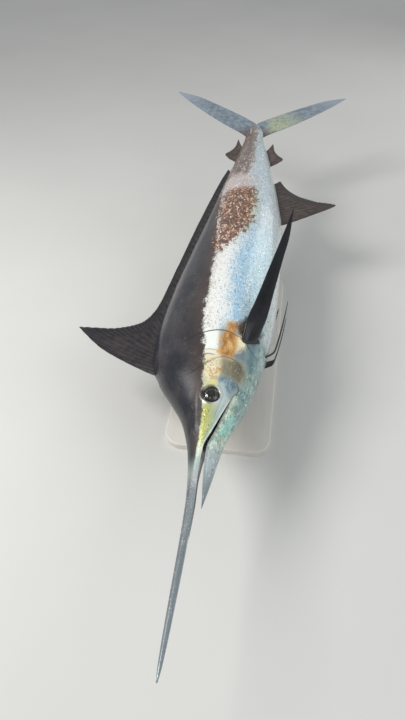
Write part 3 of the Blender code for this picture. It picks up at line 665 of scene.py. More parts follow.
def pointsOf(mesh):
    flat = np.empty(len(mesh.vertices) * 3, np.float32)
    mesh.vertices.foreach_get("co", flat)
    return flat.reshape(-1, 3).astype(float)


# Moves a mesh's points and gives each the values that a material reads
def setPoints(mesh, points, fields):
    mesh.vertices.foreach_set("co", points.astype(np.float32).ravel())
    for label, values in fields.items():
        layer = mesh.attributes.new(label, "FLOAT", "POINT")
        layer.data.foreach_set("value", values.astype(np.float32))
    mesh.update()


# A grid primitive moved to an array of points, with its fields as attributes
def shapedGrid(name, points, fields, closed):
    if closed:
        points = np.concatenate([points, points[:, :1]], axis=1)
        fields = {label: np.concatenate([v, v[:, :1]], axis=1) for label, v in fields.items()}
    rows, columns = points.shape[:2]
    deselectAll()
    bpy.ops.mesh.primitive_grid_add(x_subdivisions=columns - 1, y_subdivisions=rows - 1, size=1)
    piece = bpy.context.object
    piece.name = piece.data.name = name
    local = pointsOf(piece.data)
    column = np.rint((local[:, 0] + 0.5) * (columns - 1)).astype(int)
    row = np.rint((local[:, 1] + 0.5) * (rows - 1)).astype(int)
    setPoints(piece.data, points[row, column], {label: v[row, column] for label, v in fields.items()})
    return piece


# Merges the active piece's points that meet
def mergePoints(distance, turnOutward):
    bpy.ops.object.mode_set(mode="EDIT")
    bpy.ops.mesh.select_all(action="SELECT")
    bpy.ops.mesh.remove_doubles(threshold=distance)
    if turnOutward:
        bpy.ops.mesh.normals_make_consistent(inside=False)
    bpy.ops.object.mode_set(mode="OBJECT")


# Joins pieces into the first, closes the seams where their points meet and turns faces outward
def joinPieces(pieces, merge=0.00001):
    deselectAll()
    for piece in pieces:
        piece.select_set(True)
    bpy.context.view_layer.objects.active = pieces[0]
    if len(pieces) > 1:
        bpy.ops.object.join()
    mergePoints(merge, True)
    bpy.ops.object.shade_smooth()
    deselectAll()
    return pieces[0]


# Groups of points with their fields, side by side
def joinColumns(*groups):
    points = np.concatenate([g[0] for g in groups], axis=1)
    return points, {label: np.concatenate([g[1][label] for g in groups], axis=1) for label in groups[0][1]}


def someColumns(group, *pick):
    points, fields = group
    columns = slice(*pick)
    return points[:, columns], {label: v[:, columns] for label, v in fields.items()}


# The palate or the floor of the mouth, from the right edge across to the left
def insideRows(share, line, halfWidth, swell, lowest=None):
    t = np.arange(1, skinGrid["inside"] + 1) / (skinGrid["inside"] + 1)
    fromMiddle = np.cos(math.pi * t)
    share, line = share[:, None], line[:, None]
    side = -halfWidth[:, None] * fromMiddle
    height = line + swell[:, None] * (1 - np.abs(fromMiddle) ** 6)
    if lowest is not None:
        height = np.maximum(height, lowest(share, side))
    share, height, side = np.broadcast_arrays(share, height, side)
    deep = ease(share, *mouth["insideRun"]) * (1 - np.abs(fromMiddle) ** 8)
    none = {mask: np.zeros(share.shape) for mask in ("dark", "lip", "eyeRing", "socket", "finRoot")}
    return toFrame(share, height, side), skinFields(share, height, none, deep)


def lowerArc(share, side):
    top, bottom, half = columnsAt(body["outline"], share)
    middle = (top + bottom) / 2
    power = body["lowerFullness"]
    level = np.clip(np.abs(side) / half, 0, 1)
    return middle - (top - middle) * (1 - level**power) ** (1 / power)


# Both sides of a jaw's outer surface, right after left
def bothSides(section, share, angle, isJaw):
    wide = np.broadcast_to(share[:, None], angle.shape)
    return [reliefRows(section, wide, angle, hand, isJaw) for hand in (1.0, -1.0)]


def closedJaw(name, *groups):
    points, fields = joinColumns(*groups)
    points[0] = points[0].mean(axis=0)
    return shapedGrid(name, points, fields, True)


def makeUpperJaw():
    share = rowShares("billRows", "headRows")
    guide = guideAngle(share)
    left, right = bothSides(sectionAt, share, columnAngles(share, guide)[0], False)
    arch = mouth["palateArch"] * between(share, *mouth["palateRun"])
    roof = insideRows(share, oneAt(mouth["line"], share), sectionAt(share, guide)[1], arch, lowerArc)
    return closedJaw("upper jaw", someColumns(left, None, None, -1), someColumns(right, 1, None), roof)


def makeLowerJaw():
    share = rowShares("headRows")
    share[0] = 0.00002
    guide = angleOf(share, jawLine(share))
    left, right = bothSides(jawAt, share, columnAngles(share, guide)[1], True)
    dip = mouth["floorDip"] * between(share, *mouth["floorRun"])
    floor = insideRows(share, jawLine(share), jawAt(share, guide)[1], -dip)
    return closedJaw("lower jaw", left, someColumns(right, -2, None, -1), floor)


# The share of the gill cover's rear edge in each column, and its lift there
def gillEdges():
    share = np.full(skinGrid["upper"] + skinGrid["lower"] + 1, gill["middle"])
    for _ in range(8):
        angle = np.degrees(ownAngles(share))
        share = oneAt(gill["edge"], angle)
    return share, oneAt(gill["lift"], angle)


# The body behind the mouth: rows bend along the gill cover's edge and step down over its rim
def makeBodyLength():
    edge, lift = gillEdges()
    corner, middle, shoulder = mouth["corner"], gill["middle"], gill["shoulder"]
    strength = lift / max(lift)
    rows = []
    for base in rowShares("cheekRows"):
        share = corner + (base - corner) / (middle - corner) * (edge - gill["lastRow"] - corner)
        rows.append((share, lift * ease(share, gill["start"], edge)))
    rim = slice(len(rows), len(rows) + len(gill["rim"]))
    for i, (offset, part) in enumerate(gill["rim"]):
        rows.append((edge + (offset * strength + i * gill["apart"]) / body["length"], lift * part))
    flat = np.zeros(len(edge))
    start = edge + gill["firstRow"]
    for base in rowShares("shoulderRows")[1:]:
        rows.append((start + (base - middle) / (shoulder - middle) * (shoulder - start), flat))
    rows.extend((flat + base, flat) for base in rowShares("trunkRows", "stockRows")[1:])
    share, more = (np.array(values) for values in zip(*rows))
    angle = np.array([ownAngles(row) for row in share])
    left, right = (reliefRows(sectionAt, share, angle, hand, False, more) for hand in (1.0, -1.0))
    # The rows under the gill cover's rim are painted dark as the shade under its edge
    for _, fields in (left, right):
        fields["dark"][rim] = np.maximum(fields["dark"][rim], strength)
    count = skinGrid["upper"] + 1
    upperLeft, lowerLeft = someColumns(left, count - 1, None, -1), someColumns(left, -2, count - 1, -1)
    points, fields = joinColumns(upperLeft, someColumns(right, 1, None), lowerLeft)
    tip = np.broadcast_to(points[-1:].mean(axis=1, keepdims=True), points[-1:].shape)
    fields = {label: np.concatenate([v, v[-1:]]) for label, v in fields.items()}
    return shapedGrid("trunk", np.concatenate([points, tip]), fields, True)


def makeSkin():
    skin = joinPieces([makeBodyLength(), makeUpperJaw(), makeLowerJaw()])
    skin.name = skin.data.name = "skin"
    return skin


# Each ray: place across the fin, root share, tip share, tip height
midlineFins = {
    "back_fin": {
        "nodes": ("first_dorsal_lobe", "first_dorsal_rear"),
        "sink": 0.010,
        "count": 44,
        "rows": 26,
        "rays": (
            (0.00, 0.214, 0.219, 0.1000), (0.03, 0.221, 0.238, 0.1400), (0.06, 0.229, 0.264, 0.1850),
            (0.10, 0.240, 0.311, 0.2360), (0.14, 0.252, 0.312, 0.1950), (0.18, 0.266, 0.319, 0.1620),
            (0.24, 0.290, 0.338, 0.1330), (0.33, 0.335, 0.374, 0.1190), (0.52, 0.450, 0.480, 0.1060),
            (0.74, 0.600, 0.626, 0.0880), (0.94, 0.755, 0.776, 0.0630), (1.00, 0.800, 0.818, 0.0530),
        ),
    },
    "belly_fin": {
        "nodes": ("first_anal_fin",),
        "sink": 0.009,
        "count": 17,
        "rows": 30,
        "rays": (
            (0.00, 0.634, 0.641, -0.0800), (0.12, 0.643, 0.674, -0.1250), (0.28, 0.657, 0.714, -0.1740),
            (0.42, 0.674, 0.722, -0.1350), (0.60, 0.700, 0.736, -0.1000), (0.80, 0.732, 0.758, -0.0750),
            (1.00, 0.765, 0.786, -0.0590),
        ),
    },
    "rear_back_fin": {
        "nodes": ("second_dorsal_fin",),
        "sink": 0.006,
        "count": 7,
        "rows": 16,
        "rays": (
            (0.00, 0.846, 0.858, 0.0560), (0.18, 0.853, 0.874, 0.0660), (0.45, 0.866, 0.888, 0.0560),
            (0.75, 0.881, 0.908, 0.0470), (1.00, 0.894, 0.936, 0.0440),
        ),
    },
    "rear_belly_fin": {
        "nodes": ("second_anal_fin",),
        "sink": 0.006,
        "count": 7,
        "rows": 16,
        "rays": (
            (0.00, 0.834, 0.848, -0.0480), (0.18, 0.842, 0.865, -0.0600), (0.45, 0.855, 0.878, -0.0500),
            (0.75, 0.870, 0.896, -0.0400), (1.00, 0.883, 0.924, -0.0350),
        ),
    },
}
# Thickness in metres at the root, how much less it is behind, how fast it thins, and at the tip
midlineThickness = (0.0105, 0.4, 1.25, 0.0016)
tailFin = {
    # place out along a lobe, leading edge's share and height, trailing edge's
    "edges": (
        (0.00, 0.940, 0.0120, 0.952, 0.0000), (0.12, 0.961, 0.0330, 0.992, 0.0000),
        (0.24, 0.984, 0.0630, 1.012, 0.0170), (0.44, 1.018, 0.1030, 1.046, 0.0620),
        (0.64, 1.052, 0.1400, 1.076, 0.1070), (0.84, 1.088, 0.1760, 1.103, 0.1520),
        (1.00, 1.116, 0.2008, 1.1188, 0.1988),
    ),
    "middle": 0.0087,
    "count": 22,
    "columns": 4,
    "rows": 62,
    "notch": 0.010,
    "notched": (0.9, 1.0),  # across a lobe
    "unnotched": (0.15, 0.3),  # and out from the middle
    "shorten": 0.8,
    # at the root, how fast it thins, of the web and at the tip, metres
    "thickness": (0.015, 2.0, 0.0050, 0.0020),
    "thickest": 0.35,
    "thinner": 0.68,
}
breastFins = {
    # place out along the fin, leading edge s h w, trailing edge s h w
    "left": (
        (0.00, 0.252, -0.0300, 0.0430, 0.270, -0.0510, 0.0355),
        (0.10, 0.277, -0.0345, 0.0640, 0.303, -0.0625, 0.0540),
        (0.25, 0.313, -0.0450, 0.0780, 0.337, -0.0690, 0.0720),
        (0.50, 0.374, -0.0600, 0.0960, 0.391, -0.0780, 0.0930),
        (0.75, 0.433, -0.0745, 0.1120, 0.443, -0.0865, 0.1110),
        (1.00, 0.490, -0.0880, 0.1260, 0.491, -0.0890, 0.1260),
    ),
    "right": (
        (0.00, 0.252, -0.0300, 0.0430, 0.270, -0.0510, 0.0355),
        (0.10, 0.277, -0.0330, 0.0620, 0.303, -0.0600, 0.0520),
        (0.25, 0.313, -0.0400, 0.0680, 0.337, -0.0630, 0.0620),
        (0.50, 0.374, -0.0530, 0.0730, 0.391, -0.0690, 0.0710),
        (0.75, 0.433, -0.0660, 0.0760, 0.443, -0.0750, 0.0750),
        (1.00, 0.491, -0.0790, 0.0780, 0.492, -0.0800, 0.0780),
    ),
    "node": "pectoral_fin_",
    "count": 18,
    "rows": 70,
    "columns": 5,
    "shorten": 0.72,
    "thickness": (0.018, 2.5, 0.0070, 0.0018),
    "thickest": 0.32,
    "thinner": 0.68,
}
threadEdges = (
    (0.00, 0.262, -0.0640, 0.0110, 0.270, -0.0650, 0.0040),
    (0.10, 0.276, -0.0780, 0.0135, 0.282, -0.0795, 0.0075),
    (0.30, 0.302, -0.0825, 0.0150, 0.306, -0.0840, 0.0100),
    (0.65, 0.348, -0.0880, 0.0165, 0.350, -0.0895, 0.0135),
    (1.00, 0.394, -0.0925, 0.0175, 0.3945, -0.0932, 0.0170),
)
threadFins = {
    "left": threadEdges,
    "right": threadEdges,
    "node": "pelvic_fin_",
    "count": 3,
    "rows": 50,
    "columns": 5,
    "shorten": 0.0,
    "thickness": (0.0, 1.0, 0.0055, 0.0016),
    "thickest": 0.5,
    "thinner": 0.5,
}
rays = {
    "columns": 6,  # points from one ray to the next
    "web": 0.66,  # thickness between rays, as a part of that on them
    "rise": 0.30,  # part of the fin over which they rise out of its fleshy root
    "split": 0.60,  # where they branch
    "splitRun": 0.2,
    "sharp": 1.5,
    "taper": 0.8,
    "curve": 0.25,  # how much they sweep back towards their tips
    "notch": 0.013,  # how far the web's edge is drawn in between them
    "uneven": 0.014,  # how much shorter one can be than the next
}


# 1 on a ray and 0 between two, with each ray in two branches towards its tip
def rayRidge(across, along, count):
    one = np.abs(np.cos(math.pi * across * count)) ** rays["sharp"]
    two = np.abs(np.cos(2 * math.pi * (across * count + 0.25))) ** rays["sharp"]
    split = ease(along, rays["split"], rays["split"] + rays["splitRun"])
    return one * (1 - split) + two * split


# A thin closed sheet from its middle surface, thicker on the rays, with its own coordinates
def finSheet(name, points, across, along, count, thickness):
    ridge = rayRidge(across, along, count)
    thick = thickness * (1 - (1 - rays["web"]) * (1 - ridge) * ease(along, 0, rays["rise"]))
    fields = {"across": across, "along": along, "ridge": ridge, "thick": thick}
    piece = shapedGrid(name, points, fields, False)
    mergePoints(0.00001, False)
    values = [item.value for item in piece.data.attributes["thick"].data]
    most = max(values)
    group = piece.vertex_groups.new(name="thick")
    for index, value in enumerate(values):
        group.add([index], value / most, "REPLACE")
    solid = piece.modifiers.new("thickness", "SOLIDIFY")
    solid.thickness = most
    solid.offset = 0
    solid.vertex_group = "thick"
    solid.use_even_offset = False
    bpy.context.view_layer.objects.active = piece
    bpy.ops.object.modifier_apply(modifier=solid.name)
    piece.vertex_groups.clear()
    piece.data.attributes.remove(piece.data.attributes["thick"])
    return joinPieces([piece], 0.0)


def finGrid(columns, rows, start=0.0):
    return np.meshgrid(np.linspace(0, 1, columns + 1), np.linspace(start, 1, rows))


def makeMidlineFin(name, spec):
    count = spec["count"]
    across, along = finGrid(count * rays["columns"], spec["rows"])
    root, tip, height = columnsAt(spec["rays"], across)
    top, bottom, _ = columnsAt(body["outline"], root)
    edge = np.where(height > 0, top - spec["sink"], bottom + spec["sink"])
    seed = random.Random(len(name))
    uneven = [seed.uniform(-rays["uneven"], 0.0) for _ in range(count + 1)]
    lengths = np.interp(across * count, np.arange(count + 1), uneven)
    notch = rays["notch"] * (1 - rayRidge(across, along, count))
    reach = along * (1 - notch + lengths * along)
    share = root + (tip - root) * ((1 - rays["curve"]) * reach + rays["curve"] * reach**2)
    points = toFrame(share, edge + (height - edge) * reach, 0.0)
    thick, less, power, thin = midlineThickness
    thickness = thick * (1 - less * across) * (1 - along) ** power + thin
    return finSheet(name, points, across, along, count, thickness)


# Thinner out along a blade, and to both edges from the line where it is thickest
def bladeThickness(spec, across, along):
    root, power, web, tip = spec["thickness"]
    fading = root * (1 - along) ** power + web * (1 - along) + tip
    run = np.where(across < spec["thickest"], spec["thickest"], 1 - spec["thickest"])
    return fading * (1 - spec["thinner"] * ((across - spec["thickest"]) / run) ** 2)


# The rays of a tapering blade: those behind end along its trailing edge
def bladeRays(spec, across, along):
    return across * (1 - spec["shorten"] * along ** rays["taper"])


def makeTailFin():
    count = tailFin["count"]
    across, along = finGrid(count * tailFin["columns"], 2 * tailFin["rows"] + 1, -1.0)
    far = np.abs(along)
    leadShare, leadHeight, tailShare, tailHeight = columnsAt(tailFin["edges"], far)
    fan = bladeRays(tailFin, across, far)
    notch = tailFin["notch"] * (1 - rayRidge(fan, far, count))
    notch = notch * ease(across, *tailFin["notched"]) * ease(far, *tailFin["unnotched"])
    share = leadShare + (tailShare - leadShare) * (across - notch)
    height = leadHeight * (1 - across) + tailHeight * across
    points = toFrame(share, tailFin["middle"] + np.sign(along) * height, 0.0)
    return finSheet("tail_fin", points, fan, far, count, bladeThickness(tailFin, across, far))


def makeBlade(name, spec, side, hand):
    across, along = finGrid(spec["count"] * spec["columns"], spec["rows"])
    fan = bladeRays(spec, across, along)
    edges = tableAt(spec[side], along)
    spot = edges[..., :3] * (1 - across[..., None]) + edges[..., 3:] * across[..., None]
    points = toFrame(spot[..., 0], spot[..., 1], spot[..., 2] * hand)
    return finSheet(name, points, fan, along, spec["count"], bladeThickness(spec, across, along))


def makeFins():
    made = {}
    for name, spec in midlineFins.items():
        made[name] = makeMidlineFin(name, spec)
        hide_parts(*spec["nodes"])
    made["tail_fin"] = makeTailFin()
    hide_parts("tail_fin_upper_lobe", "tail_fin_lower_lobe")
    for side, hand in (("left", 1), ("right", -1)):
        for kind, spec in (("breast_fin_", breastFins), ("thread_fin_", threadFins)):
            name = kind + side
            made[name] = makeBlade(name, spec, side, hand)
            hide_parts(spec["node"] + side)
    return made


# The eye's middle on a flank, and its turn: the ball's axis points out of the head
def eyeFrame(hand):
    share, height = (np.array([value]) for value in eye["place"])
    here, out, _, _ = surfaceAt(sectionAt, share, angleOf(share, height), np.array([float(hand)]))
    out = Vector(out[0])
    across = Vector((-1, 0, 0)).cross(out).normalized() * hand
    up = out.cross(across).normalized() * hand
    return Vector(here[0]) - out * eye["sink"], Matrix((across, up, out)).transposed()


# Radius, half depth, how far it is pushed out and how much its front is flattened, metres
eyeBalls = {
    "globe_": (0.0294, 0.0150, 0.0006, 0.0016),
    "cornea_": (eye["radius"] - 0.0001, eye["halfDepth"] - 0.0001, 0.0, 0.0),
}


# A flattened ball with its axis out of the eye
def eyeBall(name, hand, radius, halfDepth, push, flatten):
    deselectAll()
    bpy.ops.mesh.primitive_uv_sphere_add(segments=64, ring_count=40, radius=1)
    piece = bpy.context.object
    piece.name = piece.data.name = name
    local = pointsOf(piece.data)
    fromAxis = np.hypot(local[:, 0], local[:, 1])
    front = local[:, 2] > 0
    turnedBy = np.arctan2(local[:, 1], local[:, 0])
    fields = {"fromAxis": np.where(front, fromAxis, eye["behind"]), "turn": turnedBy}
    shaped = local * (radius, radius, halfDepth)
    shaped[:, 2] -= front * flatten * np.exp(-((fromAxis / eye["flatReach"]) ** 4))
    centre, turn = eyeFrame(hand)
    setPoints(piece.data, shaped @ np.array(turn).T + np.array(centre + turn.col[2] * push), fields)
    return joinPieces([piece], 0.0)


def makeEyes():
    made = {}
    for side, hand in (("left", 1), ("right", -1)):
        for kind, sizes in eyeBalls.items():
            name = kind + side
            made[name] = eyeBall(name, hand, *sizes)
            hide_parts("eye_" + side)
    return made


stand = {
    "length": 1.24,
    "width": 0.44,
    "thickness": 0.030,
    "corner": 0.075,
    "edge": 0.006,
    "rodRadius": 0.014,
    "rodShares": (0.335, 0.600),
    "rodHeight": 0.012,
    "rodTops": (0.272, 0.286),
    "flangeRadius": 0.042,
    "flangeThickness": 0.012,
    "flangeEdge": 0.002,
    "gap": 0.0003,
}


# Bevels the edges that a test of their two ends picks
def bevelEdges(piece, pick, width, segments):
    deselectAll()
    piece.select_set(True)
    bpy.context.view_layer.objects.active = piece
    bpy.ops.object.mode_set(mode="EDIT")
    bpy.ops.mesh.select_mode(type="EDGE")
    bpy.ops.mesh.select_all(action="DESELECT")
    bpy.ops.object.mode_set(mode="OBJECT")
    for edge in piece.data.edges:
        edge.select = pick(*(piece.data.vertices[i].co for i in edge.vertices))
    bpy.ops.object.mode_set(mode="EDIT")
    bpy.ops.mesh.bevel(offset=width, offset_type="OFFSET", segments=segments, profile=0.5, affect="EDGES")
    bpy.ops.object.mode_set(mode="OBJECT")


def bevelTop(piece, top, width, segments):
    high = top - 0.0001
    bevelEdges(piece, lambda a, b: a.z > high and b.z > high, width, segments)


# Names the new piece, applies its place and scale and hides the node that it replaces
def standPiece(name, node):
    piece = bpy.context.object
    piece.name = piece.data.name = name
    bpy.ops.object.transform_apply(location=True, rotation=True, scale=True)
    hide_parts(node)
    return piece


def upright(name, node, y, low, high, radius, sides):
    deselectAll()
    place = (-stand["rodHeight"] * body["length"], y, (low + high) / 2)
    bpy.ops.mesh.primitive_cylinder_add(vertices=sides, radius=radius, depth=high - low, location=place)
    return standPiece(name, node)


def makeBoard():
    deselectAll()
    size = (stand["width"], stand["length"], stand["thickness"])
    bpy.ops.mesh.primitive_cube_add(size=1, location=(0, 0, stand["thickness"] / 2), scale=size)
    board = standPiece("board_top", "stand_base")
    bevelEdges(board, lambda a, b: abs(a.z - b.z) > 0.01, stand["corner"], 12)
    bevelTop(board, stand["thickness"], stand["edge"], 4)
    bpy.ops.object.shade_smooth_by_angle(angle=math.radians(30))
    return board


def makeStand():
    made = {"board_top": makeBoard()}
    low = stand["thickness"] + stand["gap"]
    top = low + stand["flangeThickness"]
    for end, share, rodTop in zip(("front", "rear"), stand["rodShares"], stand["rodTops"]):
        y = (share - body["balance"]) * body["length"]
        flange = upright("flange_" + end, "stand_flange_" + end, y, low, top, stand["flangeRadius"], 64)
        bevelTop(flange, top, stand["flangeEdge"], 3)
        bpy.ops.object.shade_smooth_by_angle(angle=math.radians(35))
        made["flange_" + end] = flange
        rodLow = top + stand["gap"]
        rod = upright("rod_" + end, "stand_rod_" + end, y, rodLow, rodTop, stand["rodRadius"], 48)
        bpy.ops.object.shade_smooth_by_angle(angle=math.radians(35))
        made["rod_" + end] = rod
    return made


# Linear colour from six digits as in a paint program
def paint(digits):
    values = [int(digits[i : i + 2], 16) / 255 for i in (0, 2, 4)]
    return tuple(v / 12.92 if v <= 0.04045 else ((v + 0.055) / 1.055) ** 2.4 for v in values)


# What a node puts out, so that sums are written as plain arithmetic
class Value:
    def __init__(self, tree, socket):
        self.tree = tree
        self.socket = socket

    def math(self, operation, first, second=0.0):
        return put(self.tree, "Math", {0: first, 1: second}, operation=operation)

    def __add__(self, other):
        return self.math("ADD", self, other)

    def __sub__(self, other):
        return self.math("SUBTRACT", self, other)

    def __rsub__(self, other):
        return self.math("SUBTRACT", other, self)

    def __mul__(self, other):
        return self.math("MULTIPLY", self, other)

    def __truediv__(self, other):
        return self.math("DIVIDE", self, other)

    # A noise as a value round 0
    def swing(self, amount):
        return (self - 0.5) * amount

    # The same value held between 0 and 1
    def capped(self):
        self.socket.node.use_clamp = True
        return self

    # Another output of the same node
    def beside(self, name):
        return Value(self.tree, self.socket.node.outputs[name])


def wire(socket, value):
    if isinstance(value, Value):
        value.tree.links.new(value.socket, socket)
    else:
        socket.default_value = (*paint(value), 1) if isinstance(value, str) else value


# Adds a node, sets it up, wires what feeds it and gives one of its outputs
def put(tree, kind, inputs, output=0, **settings):
    made = tree.nodes.new("ShaderNode" + kind)
    for key, value in settings.items():
        setattr(made, key, value)
    for key, value in inputs.items():
        wire(made.inputs[key], value)
    return Value(tree, made.outputs[output])


def mixed(factor, first, second):
    return put(factor.tree, "Mix", {0: factor, 6: first, 7: second}, 2, data_type="RGBA")


def over(colour, mask, paintOver, strength=1.0):
    return mixed(mask * strength, colour, paintOver)


def eased(value, low, high, start=0.0, end=1.0):
    inputs = {"Value": value, 1: low, 2: high, 3: start, 4: end}
    return put(value.tree, "MapRange", inputs, interpolation_type="SMOOTHSTEP")


def noiseAt(vector, scale, detail=3.0, rough=0.55, distortion=0.0):
    inputs = {"Vector": vector, "Scale": scale, "Detail": detail, "Roughness": rough}
    return put(vector.tree, "TexNoise", {**inputs, "Distortion": distortion}, "Fac")


def cellsAt(vector, scale, feature="F1"):
    return put(vector.tree, "TexVoronoi", {"Vector": vector, "Scale": scale}, "Distance", feature=feature)


def stretched(vector, scale):
    return put(vector.tree, "Mapping", {"Vector": vector, "Scale": scale}, "Vector")


def readAt(tree, name):
    return put(tree, "Attribute", {}, "Fac", attribute_name=name)


def rampAt(value, stops):
    made = put(value.tree, "ValToRGB", {"Fac": value}, "Color")
    points = made.socket.node.color_ramp.elements
    while len(points) < len(stops):
        points.new(0.5)
    for point, (place, digits) in zip(points, stops):
        point.position = place
        point.color = (*paint(digits), 1)
    return made


# A group with a vector and named numbers as inputs and named numbers as outputs
def newGroup(name, numbers, gives):
    group = bpy.data.node_groups.new(name, "ShaderNodeTree")
    group.interface.new_socket("Vector", in_out="INPUT", socket_type="NodeSocketVector")
    for label, start in numbers.items():
        socket = group.interface.new_socket(label, in_out="INPUT", socket_type="NodeSocketFloat")
        socket.default_value = start
    for label in gives:
        group.interface.new_socket(label, in_out="OUTPUT", socket_type="NodeSocketFloat")
    given = group.nodes.new("NodeGroupInput").outputs
    values = [Value(group, given[label]) for label in ("Vector", *numbers)]
    return group, values, group.nodes.new("NodeGroupOutput").inputs


def useGroup(group, vector, output, **numbers):
    made = vector.tree.nodes.new("ShaderNodeGroup")
    made.node_tree = group
    for key, value in {"Vector": vector, **numbers}.items():
        wire(made.inputs[key], value)
    return Value(vector.tree, made.outputs[output])


# A material, the sockets of its shader and the object's coordinates
def newMaterial(name, **fixed):
    material = bpy.data.materials.new(name)
    material.use_nodes = True
    tree = material.node_tree
    sockets = tree.nodes["Principled BSDF"].inputs
    for key, value in fixed.items():
        sockets[key.replace("_", " ")].default_value = value
    return material, sockets, put(tree, "TexCoord", {}, "Object")


def bumped(sockets, height, strength, distance):
    inputs = {"Height": height, "Strength": strength, "Distance": distance}
    wire(sockets["Normal"], put(height.tree, "Bump", inputs, "Normal"))


# Wet film: where the surface is smoother or duller, and the film's thickness
def makeWetGroup():
    numbers = {"Scale": 1.0, "Rough": 0.3, "Spread": 0.15}
    gives = ("Roughness", "Film", "Height")
    group, (vector, scale, rough, spread), out = newGroup("wet film", numbers, gives)
    fine = noiseAt(vector, scale * 75.0, 4.0, 0.65)
    both = noiseAt(vector, scale * 9.0) * 0.6 + fine * 0.4
    wire(out["Roughness"], (rough + both.swing(spread) * 2.0).capped())
    wire(out["Film"], eased(both, 0.36, 0.60, 0.35, 1.0))
    wire(out["Height"], fine)
    return group


# Uneven flecks: how much of the surface they cover and how soft their edge is
def makeFleckGroup():
    numbers = {"Scale": 90.0, "Cover": 0.3, "Edge": 0.05}
    group, (vector, scale, cover, edge), out = newGroup("flecks", numbers, ("Mask",))
    level = noiseAt(vector, scale, 4.0, 0.6, 0.4) + noiseAt(vector, scale * 0.13, 2.0).swing(0.35)
    wire(out["Mask"], ((level - (0.78 - cover * 0.45)) / edge).capped())
    return group


# Small round spots, soft at their edges, in a part of the places
def makeSpotGroup():
    numbers = {"Scale": 150.0, "Cover": 0.3, "Size": 0.4}
    group, (vector, scale, cover, size), out = newGroup("spots", numbers, ("Mask",))
    bend = noiseAt(vector, scale, 2.0, 0.5).beside("Color")
    push = put(group, "VectorMath", {0: bend, 1: (0.5, 0.5, 0.5)}, operation="SUBTRACT")
    reach = scale.math("DIVIDE", 0.9, scale)
    push = put(group, "VectorMath", {0: push, "Scale": reach}, operation="SCALE")
    cells = cellsAt(put(group, "VectorMath", {0: vector, 1: push}, operation="ADD"), scale)
    lot = put(group, "SeparateColor", {0: cells.beside("Color")}, "Red")
    size = size * (lot.beside("Green") * 0.9 + 0.45)
    spot = eased(cells, size, size * 0.45)
    wire(out["Mask"], spot * lot.math("LESS_THAN", lot, cover))
    return group


wetGroup, fleckGroup, spotGroup = makeWetGroup(), makeFleckGroup(), makeSpotGroup()

skinPaint = {
    # place along the tone from the belly's middle to the back's ridge
    "flank": (
        (0.00, "e2e6e3"), (0.12, "c9d8d8"), (0.22, "a0c0c7"), (0.30, "a2c2cb"), (0.38, "b2cfdb"),
        (0.435, "95c0dd"), (0.48, "a6cbe1"), (0.53, "dce7ea"), (0.62, "f2f2ee"), (0.72, "ecebe4"),
        (0.80, "bdb9b1"),
    ),
    "aft": (
        (0.00, "d9dddb"), (0.14, "bcc7c8"), (0.26, "a5b6bc"), (0.42, "aebfc6"), (0.55, "c0c9ca"),
        (0.75, "d2d4cf"),
    ),
    "net": ((0.20, "e6d3c8"), (0.31, "b98a6c"), (0.43, "8f6040"), (0.60, "674129"), (0.80, "3b2a22")),
    # two colours of a region and, where it isn't the usual one, the noise between them and its range
    "headGround": ("9aa08c", "d2d3bb"),
    "throat": ("4a7075", "abc8bf", "around", 0.40, 0.62),
    "underShade": ("42606d", "6b8b97", "middle"),
    "cheek": ("7d8c88", "b3b9aa"),
    "behindCheek": ("5a6668", "6f8690", "broad", 0.35, 0.65),
    "cream": ("d6c594", "f8f3d9"),
    "cheekGrey": ("645d4b", "8b8570", "broad", 0.36, 0.62),
    "cheekBlue": ("4d6878", "8ba5b0", "around", 0.42, 0.60),
    "creamSide": ("d3c193", "f5efd6"),
    "amber": ("94683a", "c2935a", "middle", 0.38, 0.62),
    "yellowEye": ("b9b45e", "e8ebb4"),
    "paleFold": ("8fabb4", "ccdadb", "fine"),
    "snout": ("7c9999", "b4c6bf"),
    "lime": ("a6b48c", "b1b35f"),
    "jaw": ("7c9a88", "d3dfcb", "around", 0.42, 0.58),
    "jawTip": ("8b979c", "b7c1c4"),
    "lowJawShade": ("3f6d77", "7fa9ab"),
    "turquoise": ("5fb9b0", "b9ece2"),
    "bill": ("59636b", "7f898f"),
    "back": ("1c1e26", "322f32", "broad", 0.40, 0.64),
    "stock": ("44342f", "7f675c", "around", 0.38, 0.62),
    "pinkTop": ("927a75", "e3d3cf"),
    "finBase": ("6f532c", "17181c"),
    "finRoot": ("0b0c11", "1f1d20", "middle"),
    "lip": ("8f989b", "dbe6e6"),
    "eyeRing": ("2a292c", "ccd8da"),
    "inside": ("1d1b1d", "4a3c3a", "middle"),
}
